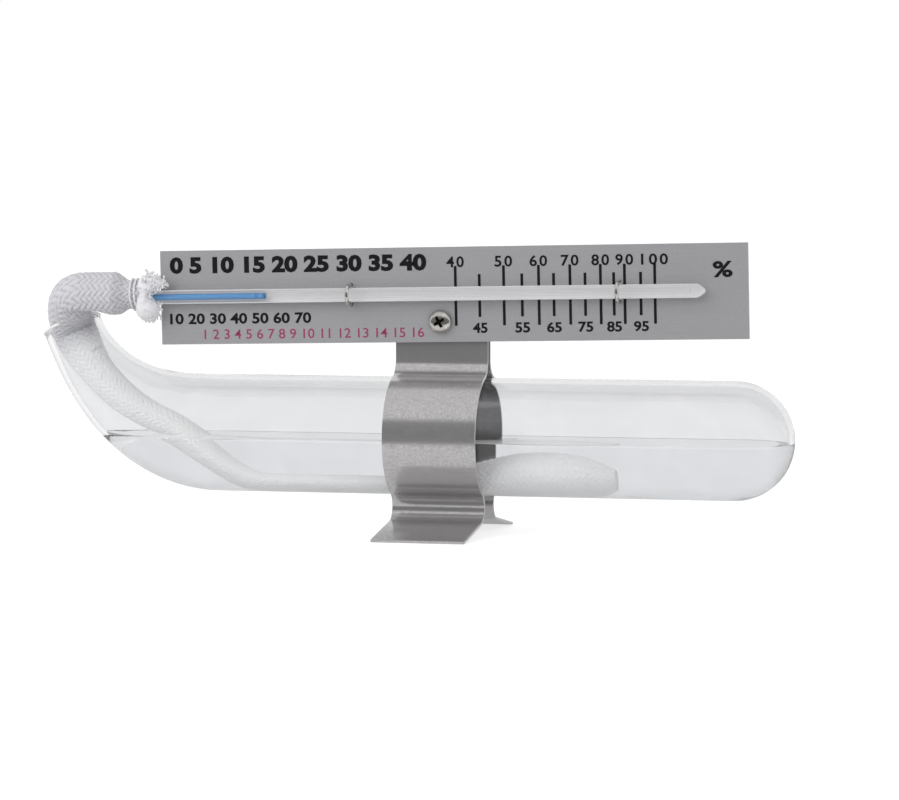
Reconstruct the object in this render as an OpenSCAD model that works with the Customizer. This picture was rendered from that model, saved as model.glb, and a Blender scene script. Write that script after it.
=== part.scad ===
// Wet bulb incubation hygrometer: a spirit thermometer on a printed plate, its
// bulb wrapped in a cotton wick that dips into a bent glass reservoir, all held
// on a sprung metal clip that doubles as the stand.
// Millimetres. X runs along the reservoir to its round end, Z is up, the scale
// faces -Y, and the origin is on the floor under the middle of the clip.

/* [Scale plate] */
// Length of the scale plate
plate_len = 127; // [120:1:132]
// Height of the scale plate
plate_h = 20; // [18:0.5:24]
// Thickness of the scale plate
plate_t = 1; // [0.6:0.1:1.5]
// Distance from the plate's left end to its fixing screw
plate_left = 61.4; // [58:0.2:64]
// Height of the fixing screw above the plate's lower edge
screw_rise = 4.3; // [3.8:0.1:5]
// Tilt of the plate on its screw in degrees, right end up
plate_tilt = 1.2; // [0:0.1:1.2]
// Gap on each side of the plate where it turns on the screw
plate_play = 0.05; // [0.02:0.01:0.1]

/* [Spring clip] */
// Width of the sprung strip
strip_w = 20; // [14:1:26]
// Thickness of the sprung strip
strip_t = 0.6; // [0.4:0.1:0.8]
// Gap between the two leaves of the neck
neck_gap = 1.4; // [1:0.1:2]
// Radius where the neck opens out into the jaws
neck_fillet = 4; // [3:0.5:6]
// Height of the screw above the reservoir's axis
screw_height = 24.3; // [23:0.1:28]
// Height of the hairpin bend above the screw
hairpin_rise = 6; // [4.5:0.5:9]
// Gap between the jaws and the reservoir
jaw_clear = 0.3; // [0.2:0.05:0.5]
// Half of the clip's outer width at its waist
waist_half = 4.5; // [3.5:0.1:6]
// Radius of the bend below the waist
waist_fillet = 3; // [2:0.5:4]
// Slope of the feet in degrees
foot_slope = 9; // [5:1:15]
// Length of each foot
foot_len = 16; // [12:1:20]

/* [Fixing screw] */
// Diameter of the screw's shank
screw_d = 2.5; // [2:0.1:3]
// Gap around the shank in its holes
screw_clear = 0.1; // [0.05:0.05:0.2]
// Diameter of the screw's head
head_d = 5; // [4.5:0.1:5.6]
// Height of the screw's head
head_h = 1.7; // [1.3:0.1:2.2]
// Turn of the cross recess in degrees
recess_turn = 30; // [0:5:45]
// Length of the cross recess
recess_len = 2.9; // [2.4:0.1:3.2]
// Width of the cross recess
recess_w = 0.7; // [0.5:0.1:0.9]
// Depth of the cross recess
recess_deep = 1; // [0.6:0.1:1.2]
// Outer diameter of the washer
washer_d = 6; // [5.6:0.2:7]
// Thickness of the washer
washer_t = 0.5; // [0.3:0.1:0.8]
// Width of the nut across its flats
nut_flats = 5; // [4.5:0.1:5.5]
// Thickness of the nut
nut_t = 2; // [1.5:0.1:2.5]
// Length of shank that stands out of the nut
shank_out = 1.2; // [0.5:0.1:2]

/* [Thermometer] */
// Diameter of the glass stem
stem_d = 3; // [2.6:0.1:3.4]
// Height of the stem's axis above the plate's lower edge
stem_rise = 10.2; // [9.6:0.1:10.6]
// Gap between the stem and the plate
stem_gap = 0.05; // [0.02:0.01:0.1]
// Diameter of the bore
bore_d = 1; // [0.8:0.05:1.2]
// Distance from the plate's right end to the stem's pointed tip
tip_inset = 8.7; // [6:0.1:12]
// Length of the stem's pointed end
tip_len = 1.8; // [1:0.1:3]
// Diameter of the point
tip_point = 0.6; // [0.4:0.1:1]
// Length of solid glass between the end of the bore and the point
bore_stop = 3; // [2:0.5:5]
// Diameter of the bulb
bulb_d = 5; // [4.6:0.1:5.2]
// Length of the bulb without its shoulder
bulb_len = 8.5; // [7:0.5:10]
// Distance from the plate's left end to the bulb's shoulder
bulb_out = 7.6; // [7.4:0.1:8.4]
// Length of the shoulder between the bulb and the stem
shoulder = 1.8; // [1.2:0.1:2]
// Thickness of the bulb's wall
bulb_wall = 0.5; // [0.4:0.1:0.8]
// Distance of the spirit's end from the plate's left end
reading = 23.8; // [20:0.1:30]
// Length of the sliding end of the spirit
meniscus_len = 2; // [1.5:0.1:3]
// Depth of the hollow in the spirit's end
hollow_deep = 0.2; // [0.1:0.05:0.3]
// Gap between the spirit and the glass
spirit_gap = 0.05; // [0.03:0.01:0.08]

/* [Stem clips] */
// Diameter of the clips' wire
wire_d = 0.8; // [0.6:0.1:1]
// Gap between the wire and what it holds
wire_gap = 0.1; // [0.05:0.05:0.2]
// Distance from the plate's left end to the first clip
clip_a = 42; // [36:0.5:46]
// Distance from the plate's right end to the second clip
clip_b = 27.1; // [20:0.1:36]
// Length of the wire's turned ends behind the plate
wire_tail = 3; // [2:0.5:4]

/* [Reservoir] */
// Outer diameter of the glass reservoir
tube_d = 25; // [24:0.5:26]
// Thickness of the glass
tube_wall = 1.1; // [0.8:0.1:1.5]
// Distance from the clip's middle to the round end
tube_right = 74.9; // [68:0.1:82]
// Distance from the plate's left end back to the start of the reservoir's bend
bend_under = 12.3; // [11.6:0.1:13.4]
// Radius of the bend along the middle of the glass
bend_r = 37; // [36.5:0.1:37.5]
// Angle that the neck turns through
neck_angle = 67; // [64:1:68]
// Outer diameter of the neck at its mouth
neck_d = 12.6; // [12.2:0.1:13]
// Lean of the neck toward the back in degrees
neck_lean = 7; // [4:0.5:9]
// Height of the rolled rim along the neck
rim_h = 0.7; // [0.5:0.1:1]
// Thickness that the rolled rim adds outside the neck
rim_out = 0.25; // [0.1:0.05:0.4]
// Depth of the water's surface below the reservoir's axis
water_drop = 0.5; // [0:0.1:3]

/* [Wick] */
// Diameter of the wick over the bulb
sleeve_d = 8.9; // [8.6:0.1:9.4]
// Thickness of the wick over the bulb's end
sleeve_end = 0.4; // [0.3:0.1:0.8]
// Height of the sleeve's axis above the stem's axis
sleeve_lift = 0.7; // [0.6:0.05:0.8]
// Gap between the wick and the glass bulb
sleeve_gap = 0.15; // [0.1:0.05:0.25]
// Length over which the wick narrows to the tie
taper_len = 3.4; // [2.8:0.2:4.4]
// Diameter of the wick where it is tied
tied_d = 6.2; // [5.6:0.1:6.6]
// Distance from the plate's left end to the tie
tie_out = 4; // [3.4:0.1:4.6]
// Diameter of the tying thread
thread_d = 0.45; // [0.35:0.05:0.5]
// Turns of the tying thread
thread_turns = 2; // [1:1:2]
// Gap between two turns of the tying thread
thread_gap = 0.5; // [0.45:0.05:0.6]
// Diameter of the frayed end
frill_d = 10.4; // [9:0.1:11]
// Reach of the frayed end over the plate
frill_over = 2.6; // [2:0.1:3.4]
// Number of gathers round the frayed end
frill_lobes = 7; // [5:1:9]
// Diameter of the wick where it enters the neck
neck_wick_d = 6; // [5:0.2:6.2]
// Fullness of the wick's bend between the bulb and the mouth
bend_full = 9.8; // [9.5:0.1:10.1]
// Width of the wick inside the reservoir
tail_w = 6.8; // [5.6:0.1:7.2]
// Thickness of the wick inside the reservoir
tail_t = 4.4; // [3.6:0.1:5]
// Distance from the clip's middle to the wick's end
tail_right = 38; // [30:1:50]
// Depth of the wick's joint inside the neck in degrees of bend
tail_in = 4; // [3:0.5:6]
// Gap between the wick and the water around it
soak_gap = 0.08; // [0.05:0.01:0.12]
// Gap between the soft wick and the plate or the glass
wick_gap = 0.3; // [0.2:0.05:0.5]

/* [Hidden] */
$fn = 48;
// Largest turn between two points on the clip's bends, in degrees
arc_step = 4;

// The jaws' circles and the waist's bend give the height of the axis
jaw_in = tube_d / 2 + jaw_clear;
jaw_out = jaw_in + strip_t;
leaf_out = neck_gap / 2 + strip_t;
neck_c = [leaf_out + neck_fillet, sqrt(pow(jaw_out + neck_fillet, 2) - pow(leaf_out + neck_fillet, 2))];
waist_c = [waist_half + waist_fillet, -sqrt(pow(jaw_out + waist_fillet, 2) - pow(waist_half + waist_fillet, 2))];
foot_drop = (waist_fillet + strip_t) * cos(foot_slope) + foot_len * sin(foot_slope);
axis_z = foot_drop - waist_c[1];

// Overshoot of a cut past the face that it opens
cut = 1;

// Screw and plate
screw_z = axis_z + screw_height;
plate_front = -leaf_out - plate_play - plate_t;
plate_x0 = -plate_left;
plate_x1 = plate_len - plate_left;
clip_xs = [plate_x0 + clip_a, plate_x1 - clip_b];
plate_z0 = screw_z - screw_rise;
hole_d = screw_d + 2 * screw_clear;

// Stem
stem_y = plate_front - stem_gap - stem_d / 2;
stem_z = plate_z0 + stem_rise;
stem_x1 = plate_x1 - tip_inset;
bulb_x1 = plate_x0 - bulb_out;
bulb_x0 = bulb_x1 - bulb_len;
stem_x0 = bulb_x1 + shoulder;
bore_x1 = stem_x1 - bore_stop;
bulb_steps = 8;
spirit_d = bore_d - 2 * spirit_gap;
spirit_x0 = bulb_x1 + shoulder / 2;
spirit_x1 = plate_x0 + reading;

// Wick
sleeve_z = stem_z + sleeve_lift;
sleeve_x0 = bulb_x0 - sleeve_gap - sleeve_end;
tie_x = plate_x0 - tie_out;
thread_pitch = thread_d + thread_gap;
seat_x0 = tie_x - thread_turns * thread_pitch - thread_d;
frill_x0 = tie_x + thread_d;
frill_x1 = plate_x0 + frill_over;
wire_r = stem_d / 2 + wire_gap + wire_d / 2;

// Reservoir, measured from its own axis
bend_start = plate_left - bend_under;
sides = 40;
bend_steps = 12;
dome_steps = 6;
dome_x = tube_right - tube_d / 2;
rim_widest = 0.4;
water_gap = 0.15;

// Smooth step from 0 to 1
function ease(t) = t <= 0 ? 0 : t >= 1 ? 1 : t * t * (3 - 2 * t);
function blend(a, b, t) = a + (b - a) * t;

// A point, and what is drawn, turned with the plate about its screw
function tilted(p) = let (c = cos(plate_tilt), s = sin(plate_tilt), z = p[2] - screw_z)
    [p[0] * c - z * s, p[1], screw_z + p[0] * s + z * c];
module on_plate() {
    translate([0, 0, screw_z])
        rotate([0, -plate_tilt, 0])
            translate([0, 0, -screw_z])
                children();
}

// A point of the reservoir's upright plane, leant back about the reservoir's axis
function leant(x, y, z) = [x, y * cos(neck_lean) + z * sin(neck_lean), axis_z + z * cos(neck_lean) - y * sin(neck_lean)];

// Middle of the neck after it has turned through a degrees
function neck_x(a) = -bend_start - bend_r * sin(a);
function neck_z(a) = bend_r * (1 - cos(a));
function neck_r(a) = neck_d / 2 + (tube_d - neck_d) / 2 * (1 - ease(a / neck_angle));

// One ring of the reservoir: middle x and z, turn, radius, count of points
function ring(x, z, a, r) = [for (i = [0:sides - 1]) let (t = 360 * i / sides)
    leant(x + r * sin(t) * sin(a), r * cos(t), z + r * sin(t) * cos(a))];

// Rings from the round end to the mouth, with the glass pared away by w
function shell_rings(w) = concat(
    [for (i = [1:dome_steps]) let (b = 90 - 90 * i / dome_steps)
        ring(dome_x + (tube_d / 2 - w) * sin(b), 0, 0, (tube_d / 2 - w) * cos(b))],
    [for (i = [0:bend_steps]) let (a = neck_angle * i / bend_steps)
        ring(neck_x(a), neck_z(a), a, neck_r(a) - w)]);

// A ring past the mouth, out along the neck by d and with radius r
function lip_ring(d, r) = ring(neck_x(neck_angle) - d * cos(neck_angle), neck_z(neck_angle) + d * sin(neck_angle),
    neck_angle, r);

function flat(v) = [for (a = v) for (b = a) b];
function turned(v) = [for (i = [len(v) - 1:-1:0]) v[i]];
function mean(v) = [for (k = [0:2]) let (s = [for (p = v) p[k]]) s * [for (p = v) 1] / len(v)];

// Faces of a closed skin over n rings of m points, with a point at each end
function skin_faces(n, m) = concat(
    [for (j = [0:m - 1]) [n * m, (j + 1) % m, j]],
    [for (i = [0:n - 2]) for (j = [0:m - 1]) [i * m + j, (i + 1) * m + (j + 1) % m, (i + 1) * m + j]],
    [for (i = [0:n - 2]) for (j = [0:m - 1]) [i * m + j, i * m + (j + 1) % m, (i + 1) * m + (j + 1) % m]],
    [for (j = [0:m - 1]) [n * m + 1, (n - 1) * m + j, (n - 1) * m + (j + 1) % m]]);

module skin(rings, first, last) {
    polyhedron(concat(flat(rings), [first, last]), skin_faces(len(rings), len(rings[0])), 6);
}

// Unit vector, cross product frame and cubic path for the swept wick
function unit(v) = v / norm(v);
function hermite(p, q, dp, dq, t) = (2 * t * t * t - 3 * t * t + 1) * p + (t * t * t - 2 * t * t + t) * dp
    + (3 * t * t - 2 * t * t * t) * q + (t * t * t - t * t) * dq;
function path_dir(v, i) = unit(v[min(i + 1, len(v) - 1)] - v[max(i - 1, 0)]);

// Oval section square to direction d: half-width w across, half-thickness h
function oval(c, d, w, h, n) = let (side = unit(cross(d, cross([0, 1, 0], d))), up = cross(side, d))
    [for (i = [0:n - 1]) let (t = 360 * i / n) c + w * cos(t) * side + h * sin(t) * up];

wick_sides = 16;

// Inside the reservoir the wick follows the neck, then eases down to lie on the glass
tail_a0 = neck_angle - tail_in;
tail_a1 = 20;
tail_low = -(tube_d / 2 - tube_wall - wick_gap - tail_t / 2);
tail_rest_x = -36;
function tail_drop(t) = let (x = hermite(neck_x(tail_a1), tail_rest_x, 25, 25, t))
    leant(x, 0, hermite(neck_z(tail_a1), tail_low, -9, 0, t));
function tail_path() = concat(
    [for (i = [0:7]) let (a = tail_a0 + (tail_a1 - tail_a0) * i / 8) leant(neck_x(a), 0, neck_z(a))],
    [for (i = [0:8]) tail_drop(i / 8)],
    [for (i = [1:6]) leant(tail_rest_x + (tail_right - tail_rest_x) * i / 6, 0, tail_low)]);
function tail_half(i) = let (t = ease(i / 14)) [blend(neck_wick_d, tail_w, t), blend(neck_wick_d, tail_t, t)] / 2;

function tail_dir(v, i) = i == 0 ? mouth_dir : i >= len(v) - 7 ? [1, 0, 0] : path_dir(v, i);
module tail_sweep(g) {
    v = tail_path();
    rings = [for (i = [0:len(v) - 1]) let (h = tail_half(i)) oval(v[i], tail_dir(v, i), h[0] + g, h[1] + g, wick_sides)];
    skin(rings, v[0] - g * mouth_dir, v[len(v) - 1] + g * [1, 0, 0]);
}

// Direction down the neck at the wick's joint
mouth_dir = [cos(tail_a0), -sin(tail_a0) * sin(neck_lean), -sin(tail_a0) * cos(neck_lean)];
joint_pt = leant(neck_x(tail_a0), 0, neck_z(tail_a0));
bend_pt = tilted([sleeve_x0, stem_y, sleeve_z]);
bend_dir = [-cos(plate_tilt), 0, -sin(plate_tilt)];

// Highest point of the rolled rim; the sleeve is pressed flat just above it
mouth_top = max([for (q = lip_ring(rim_h * rim_widest, neck_d / 2 + rim_out)) q[2]]);
wick_low = mouth_top + wick_gap;

// Between the bulb and the mouth the wick turns down and back in one bend
turn_steps = 12;
bend_draw = 2.1;
bend_out = 1.7;
bend_in = 2;
function bend_path() = [for (i = [0:turn_steps])
    hermite(bend_pt, joint_pt, bend_out * bend_full * bend_dir, bend_in * bend_full * mouth_dir, i / turn_steps)];

module scale_plate() {
    color([0.62, 0.62, 0.64])
    on_plate() difference() {
        translate([plate_x0, plate_front, plate_z0])
            cube([plate_len, plate_t, plate_h]);
        translate([0, plate_front - cut, screw_z])
            rotate([-90, 0, 0])
                cylinder(d = hole_d, h = plate_t + 2 * cut);
        for (x = clip_xs, s = [-1, 1])
            translate([x, plate_front - cut, stem_z + s * wire_r])
                rotate([-90, 0, 0])
                    cylinder(d = wire_d + 2 * wire_gap, h = plate_t + 2 * cut);
    }
}

// Half section from the bulb's round end to x on the shoulder, g out from the glass
function bulb_side(g, x) = let (r = bulb_d / 2) concat(
    [for (i = [0:bulb_steps]) let (a = 90 * i / bulb_steps) [(r + g) * sin(a), bulb_x0 + r - (r + g) * cos(a)]],
    [[r + g, bulb_x1], [blend(bulb_d, stem_d, (x - bulb_x1) / shoulder) / 2 + g, x]]);

// Turns a half section about the stem's axis
module about_stem(points) {
    on_plate() translate([0, stem_y, stem_z])
        rotate([0, 90, 0])
            rotate_extrude()
                polygon(points);
}

// Glass stem, shoulder and bulb in one piece, bored along its length
module thermometer_glass() {
    color([0.80, 0.80, 0.82, 0.6])
    difference() {
        about_stem(concat(bulb_side(0, stem_x0),
            [[stem_d / 2, stem_x1 - tip_len], [tip_point / 2, stem_x1], [0, stem_x1]]));
        about_stem(concat(bulb_side(-bulb_wall, stem_x0),
            [[bore_d / 2, stem_x0], [bore_d / 2, bore_x1], [0, bore_x1]]));
    }
}

module spirit_bulb() {
    color([0.30, 0.50, 0.78])
        about_stem(concat(bulb_side(-bulb_wall - spirit_gap, spirit_x0), [[0, spirit_x0]]));
}

module spirit_thread() {
    color([0.30, 0.50, 0.78])
    on_plate() translate([spirit_x0, stem_y, stem_z])
        rotate([0, 90, 0])
            cylinder(d = spirit_d, h = spirit_x1 - meniscus_len - spirit_x0);
}

// The end of the spirit, hollowed where it meets the air
module spirit_tip() {
    hollow_r = 0.56 * spirit_d;
    color([0.30, 0.50, 0.78])
    on_plate() translate([spirit_x1 - meniscus_len, stem_y, stem_z])
        rotate([0, 90, 0])
            difference() {
                cylinder(d = spirit_d, h = meniscus_len);
                translate([0, 0, meniscus_len + hollow_r - hollow_deep])
                    sphere(hollow_r);
            }
}

// Wire loop over the stem, through the plate and turned flat behind it
module stem_clip(x) {
    back_y = plate_front + plate_t;
    turn_r = wire_d / 2 + wire_gap;
    color([0.80, 0.80, 0.80])
    on_plate() translate([x, 0, stem_z]) {
        translate([0, stem_y, 0])
            rotate([0, 90, 0])
                rotate([0, 0, 180])
                    rotate_extrude(angle = 180)
                        translate([wire_r, 0])
                            circle(d = wire_d);
        for (s = [0, 1])
            mirror([0, 0, s]) {
                translate([0, stem_y, wire_r])
                    rotate([-90, 0, 0])
                        cylinder(d = wire_d, h = back_y - stem_y);
                translate([0, back_y, wire_r + turn_r])
                    rotate([0, 90, 0])
                        rotate_extrude(angle = 90)
                            translate([turn_r, 0])
                                circle(d = wire_d);
                translate([0, back_y + turn_r, wire_r + turn_r])
                    cylinder(d = wire_d, h = wire_tail - turn_r);
            }
    }
}

module stem_clip_left() {
    stem_clip(clip_xs[0]);
}

module stem_clip_right() {
    stem_clip(clip_xs[1]);
}

// Woven sleeve drawn over the bulb, gathered where it is tied and flat where it lies over the rim
sleeve_steps = 10;
function sleeve_r(x) = tied_d / 2 + (sleeve_d - tied_d) / 2 * (1 - ease((x - seat_x0 + taper_len) / taper_len));

module wick_sleeve() {
    x1 = frill_x0;
    taper = [for (i = [0:sleeve_steps]) seat_x0 - taper_len * (1 - i / sleeve_steps)];
    color([0.92, 0.92, 0.93])
    difference() {
        on_plate() translate([sleeve_x0, stem_y, sleeve_z])
            rotate([0, 90, 0])
                rotate_extrude()
                    polygon(concat([[0, 0], [sleeve_d / 2, 0]], [for (x = taper) [sleeve_r(x), x - sleeve_x0]],
                        [[tied_d / 2, x1 - sleeve_x0], [0, x1 - sleeve_x0]]));
        about_stem(concat(bulb_side(sleeve_gap, stem_x0), [[stem_d / 2 + sleeve_gap, x1 + cut], [0, x1 + cut]]));
        translate([sleeve_x0 - sleeve_d, stem_y - sleeve_d, wick_low - sleeve_d])
            cube([3 * sleeve_d, 2 * sleeve_d, sleeve_d]);
    }
}

// Tying thread wound round the gathered sleeve
tie_steps = 24;
tie_gap = 0.05;
tie_r = tied_d / 2 + tie_gap + thread_d / 2;
function tie_path() = [for (i = [0:thread_turns * tie_steps]) let (a = 360 * i / tie_steps)
    [tie_x - thread_turns * thread_pitch + thread_pitch * i / tie_steps, stem_y + tie_r * cos(a), sleeve_z + tie_r * sin(a)]];

// Least gap from one turn of a winding to the next, measured on its points
function turn_gap(v, n, d) = min([for (i = [0:len(v) - 1]) for (j = [i + n / 2:1:len(v) - 1]) norm(v[j] - v[i])]) - d;
echo(str("least gap in the tying thread ", turn_gap(tie_path(), tie_steps, thread_d)));

module wick_tie() {
    v = tie_path();
    rings = [for (i = [0:len(v) - 1]) let (c = [v[i][0], stem_y, sleeve_z], out = unit(v[i] - c))
        [for (k = [0:5]) v[i] + thread_d / 2 * (cos(60 * k) * out + sin(60 * k) * [1, 0, 0])]];
    color([0.90, 0.90, 0.92])
        on_plate() skin(rings, v[0], v[len(v) - 1]);
}

// Frayed end of the wick, spread in soft gathers round the stem
module wick_frill() {
    n = 6 * frill_lobes;
    steps = 4;
    lobe = 0.12;
    frill_dip = 1.2;
    function frill_r(t, a) = (tied_d / 2 + (frill_d - tied_d) / 2 * sin(90 * t)) * (1 + lobe * t * cos(frill_lobes * a));
    rings = [for (i = [0:steps]) let (t = i / steps, x = frill_x0 + (frill_x1 - frill_x0) * (t - 0.25 * t * t) / 0.75)
        [for (k = [0:n - 1]) let (a = 360 * k / n, r = frill_r(t, a)) [x, stem_y + r * cos(a), sleeve_z + r * sin(a)]]];
    color([0.94, 0.94, 0.95])
    on_plate() difference() {
        skin([for (q = rings) turned(q)], [frill_x0, stem_y, sleeve_z], [frill_x1 - frill_dip, stem_y, sleeve_z]);
        translate([frill_x0 - cut, stem_y, stem_z])
            rotate([0, 90, 0])
                cylinder(d = stem_d + 2 * sleeve_gap, h = frill_x1 - frill_x0 + 2 * cut);
        translate([plate_x0 - wick_gap, plate_front - wick_gap, plate_z0 - cut])
            cube([frill_over + cut, frill_d, plate_h + 2 * cut]);
    }
}

// Points along an arc in the clip's side view: middle, radius, first and last angle
function arc(c, r, a1, a2) = let (n = max(2, ceil(abs(a2 - a1) / arc_step)))
    [for (i = [0:n]) let (a = a1 + (a2 - a1) * i / n) c + r * [cos(a), sin(a)]];

// Side view of the strip's rear half: down its outer face, round the foot and back up
function clip_half() = let (
    top = [0, screw_height + hairpin_rise],
    jaw_a = atan2(neck_c[1], neck_c[0]),
    waist_a = atan2(waist_c[1], waist_c[0]),
    foot = [cos(foot_slope), -sin(foot_slope)],
    down = [-sin(foot_slope), -cos(foot_slope)])
    concat(
        arc(top, leaf_out, 90, 0),
        arc(neck_c, neck_fillet, 180, 180 + jaw_a),
        arc([0, 0], jaw_out, jaw_a - arc_step, waist_a + arc_step),
        arc(waist_c, waist_fillet, 180 + waist_a, 270 - foot_slope),
        [waist_c + foot_len * foot + waist_fillet * down],
        [waist_c + foot_len * foot + (waist_fillet + strip_t) * down],
        arc(waist_c, waist_fillet + strip_t, 270 - foot_slope, 180 + waist_a),
        arc([0, 0], jaw_in, waist_a + arc_step, jaw_a - arc_step),
        arc(neck_c, neck_fillet + strip_t, 180 + jaw_a, 180),
        arc(top, neck_gap / 2, 0, 90));

// One strip: hairpin, two leaves, round jaws, waist and sloped feet
module spring_clip() {
    half = clip_half();
    color([0.66, 0.65, 0.64])
    translate([0, 0, axis_z])
        difference() {
            rotate([90, 0, 90])
                linear_extrude(height = strip_w, center = true)
                    polygon(concat(half, [for (i = [len(half) - 2:-1:1]) [-half[i][0], half[i][1]]]));
            translate([0, -leaf_out - cut, screw_height])
                rotate([-90, 0, 0])
                    cylinder(d = hole_d, h = 2 * (leaf_out + cut));
        }
}

// Pan head screw with a cross recess, through the plate and both leaves
module fixing_screw() {
    head_y = plate_front - plate_play;
    tip_y = leaf_out + washer_t + nut_t + shank_out;
    dome_r = (head_d * head_d / 4 + head_h * head_h) / (2 * head_h) + 1.2;
    color([0.82, 0.82, 0.80])
    translate([0, 0, screw_z])
        rotate([-90, 0, 0])
            difference() {
                union() {
                    translate([0, 0, head_y - head_h])
                        intersection() {
                            cylinder(d = head_d, h = head_h);
                            translate([0, 0, dome_r])
                                sphere(dome_r);
                        }
                    translate([0, 0, head_y])
                        cylinder(d = screw_d, h = tip_y - head_y);
                }
                for (a = [0, 90])
                    rotate([0, 0, recess_turn + a])
                        translate([-recess_len / 2, -recess_w / 2, head_y - head_h - cut])
                            cube([recess_len, recess_w, recess_deep + cut]);
            }
}

module fixing_washer() {
    color([0.78, 0.78, 0.77])
    translate([0, leaf_out, screw_z])
        rotate([-90, 0, 0])
            difference() {
                cylinder(d = washer_d, h = washer_t);
                translate([0, 0, -cut])
                    cylinder(d = hole_d, h = washer_t + 2 * cut);
            }
}

module fixing_nut() {
    color([0.80, 0.79, 0.74])
    translate([0, leaf_out + washer_t, screw_z])
        rotate([-90, 0, 0])
            difference() {
                cylinder(d = nut_flats / cos(30), h = nut_t, $fn = 6);
                translate([0, 0, -cut])
                    cylinder(d = hole_d, h = nut_t + 2 * cut);
            }
}

module wick_bend() {
    v = bend_path();
    n = len(v) - 1;
    rings = [for (i = [0:n]) let (d = i == 0 ? bend_dir : i == n ? mouth_dir : path_dir(v, i), t = ease(bend_draw * i / n),
        r = blend(sleeve_d, neck_wick_d, t) / 2) oval(v[i], d, r, r, wick_sides)];
    color([0.90, 0.90, 0.91])
        skin(rings, v[0], v[n]);
}

// Blown glass: straight body with a round end, bent and drawn down to a rolled mouth
module reservoir_tube() {
    neck_in = neck_d / 2 - tube_wall;
    rings = concat(
        shell_rings(0),
        [lip_ring(rim_h * rim_widest, neck_d / 2 + rim_out), lip_ring(rim_h, neck_d / 2 - tube_wall * 0.3)],
        [lip_ring(rim_h * 0.6, neck_in)],
        turned(shell_rings(tube_wall)));
    color([0.85, 0.87, 0.90, 0.35])
        skin(rings, leant(tube_right, 0, 0), leant(tube_right - tube_wall, 0, 0));
}

// Section of the water square to the reservoir: the part of a circle below the level
level_arc = 24;
function level_ring(x, z, a, r) = let (
    n = [-sin(neck_lean), cos(a) * cos(neck_lean)],
    h = (-water_drop - z * cos(neck_lean)) / norm(n),
    b = acos(max(-0.999, min(0.999, h / r))),
    v = atan2(n[1], n[0]))
    [for (i = [0:level_arc]) let (t = v + b + (360 - 2 * b) * i / level_arc)
        leant(x + r * sin(t) * sin(a), r * cos(t), z + r * sin(t) * cos(a))];

// Turn of the neck where its lower side comes out of the water
function neck_low(a, w) = neck_z(a) * cos(neck_lean) - (neck_r(a) - w) * norm([sin(neck_lean), cos(a) * cos(neck_lean)]);
function shore(a, w) = neck_low(a, w) > -water_drop ? a : shore(a + 0.25, w);

// Water up to its level, with the wick lying in it
module water_fill() {
    w = tube_wall + water_gap;
    r = tube_d / 2 - w;
    a1 = shore(20, w) - 0.5;
    n = 14;
    end_r = acos(min(1, (water_drop + 0.6) / r));
    rings = concat(
        [for (i = [0:dome_steps]) let (b = end_r * (1 - i / dome_steps)) level_ring(dome_x + r * sin(b), 0, 0, r * cos(b))],
        [for (i = [0:n]) let (a = a1 * i / n) level_ring(neck_x(a), neck_z(a), a, neck_r(a) - w)]);
    color([0.80, 0.86, 0.92, 0.4])
    difference() {
        skin(rings, [dome_x + r * sin(end_r) + 0.05, 0, axis_z - water_drop - 0.3], mean(rings[len(rings) - 1]));
        tail_sweep(soak_gap);
    }
}

module wick_tail() {
    color([0.90, 0.90, 0.90])
        tail_sweep(0);
}

scale_plate();
thermometer_glass();
spirit_bulb();
spirit_thread();
spirit_tip();
stem_clip_left();
stem_clip_right();
wick_sleeve();
wick_tie();
wick_frill();
spring_clip();
fixing_screw();
fixing_washer();
fixing_nut();
wick_bend();
reservoir_tube();
water_fill();
wick_tail();
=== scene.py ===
"""Wet bulb incubation hygrometer: finishes, soft pieces, glass and print over the fixed frame.

Sizes are in millimetres in the part's own frame: X along the reservoir to its round end, Z up,
the scale faces -Y, and the origin is on the floor under the middle of the clip.
"""

import logging
import math
from collections.abc import Callable
from dataclasses import dataclass, field
from enum import Enum

import bmesh
import bpy
import numpy as np
from bpy.types import NodeSocket
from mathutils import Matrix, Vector


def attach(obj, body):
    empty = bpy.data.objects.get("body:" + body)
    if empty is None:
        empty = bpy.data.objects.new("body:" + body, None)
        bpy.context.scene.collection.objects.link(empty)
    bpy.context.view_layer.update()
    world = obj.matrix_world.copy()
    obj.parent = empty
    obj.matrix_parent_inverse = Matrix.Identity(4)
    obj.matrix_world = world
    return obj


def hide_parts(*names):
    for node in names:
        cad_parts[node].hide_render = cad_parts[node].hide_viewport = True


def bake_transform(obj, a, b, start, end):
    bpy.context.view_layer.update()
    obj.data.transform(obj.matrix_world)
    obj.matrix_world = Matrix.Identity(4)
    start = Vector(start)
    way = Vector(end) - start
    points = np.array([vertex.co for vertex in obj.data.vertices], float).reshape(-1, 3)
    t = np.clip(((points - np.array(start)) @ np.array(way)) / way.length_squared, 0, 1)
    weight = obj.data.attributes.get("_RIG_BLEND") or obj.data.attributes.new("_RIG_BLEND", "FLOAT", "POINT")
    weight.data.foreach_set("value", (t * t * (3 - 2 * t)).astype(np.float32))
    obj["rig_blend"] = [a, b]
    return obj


LOG = logging.getLogger("hygrometer")
MM = 0.001
Three = tuple[float, float, float]

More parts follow.
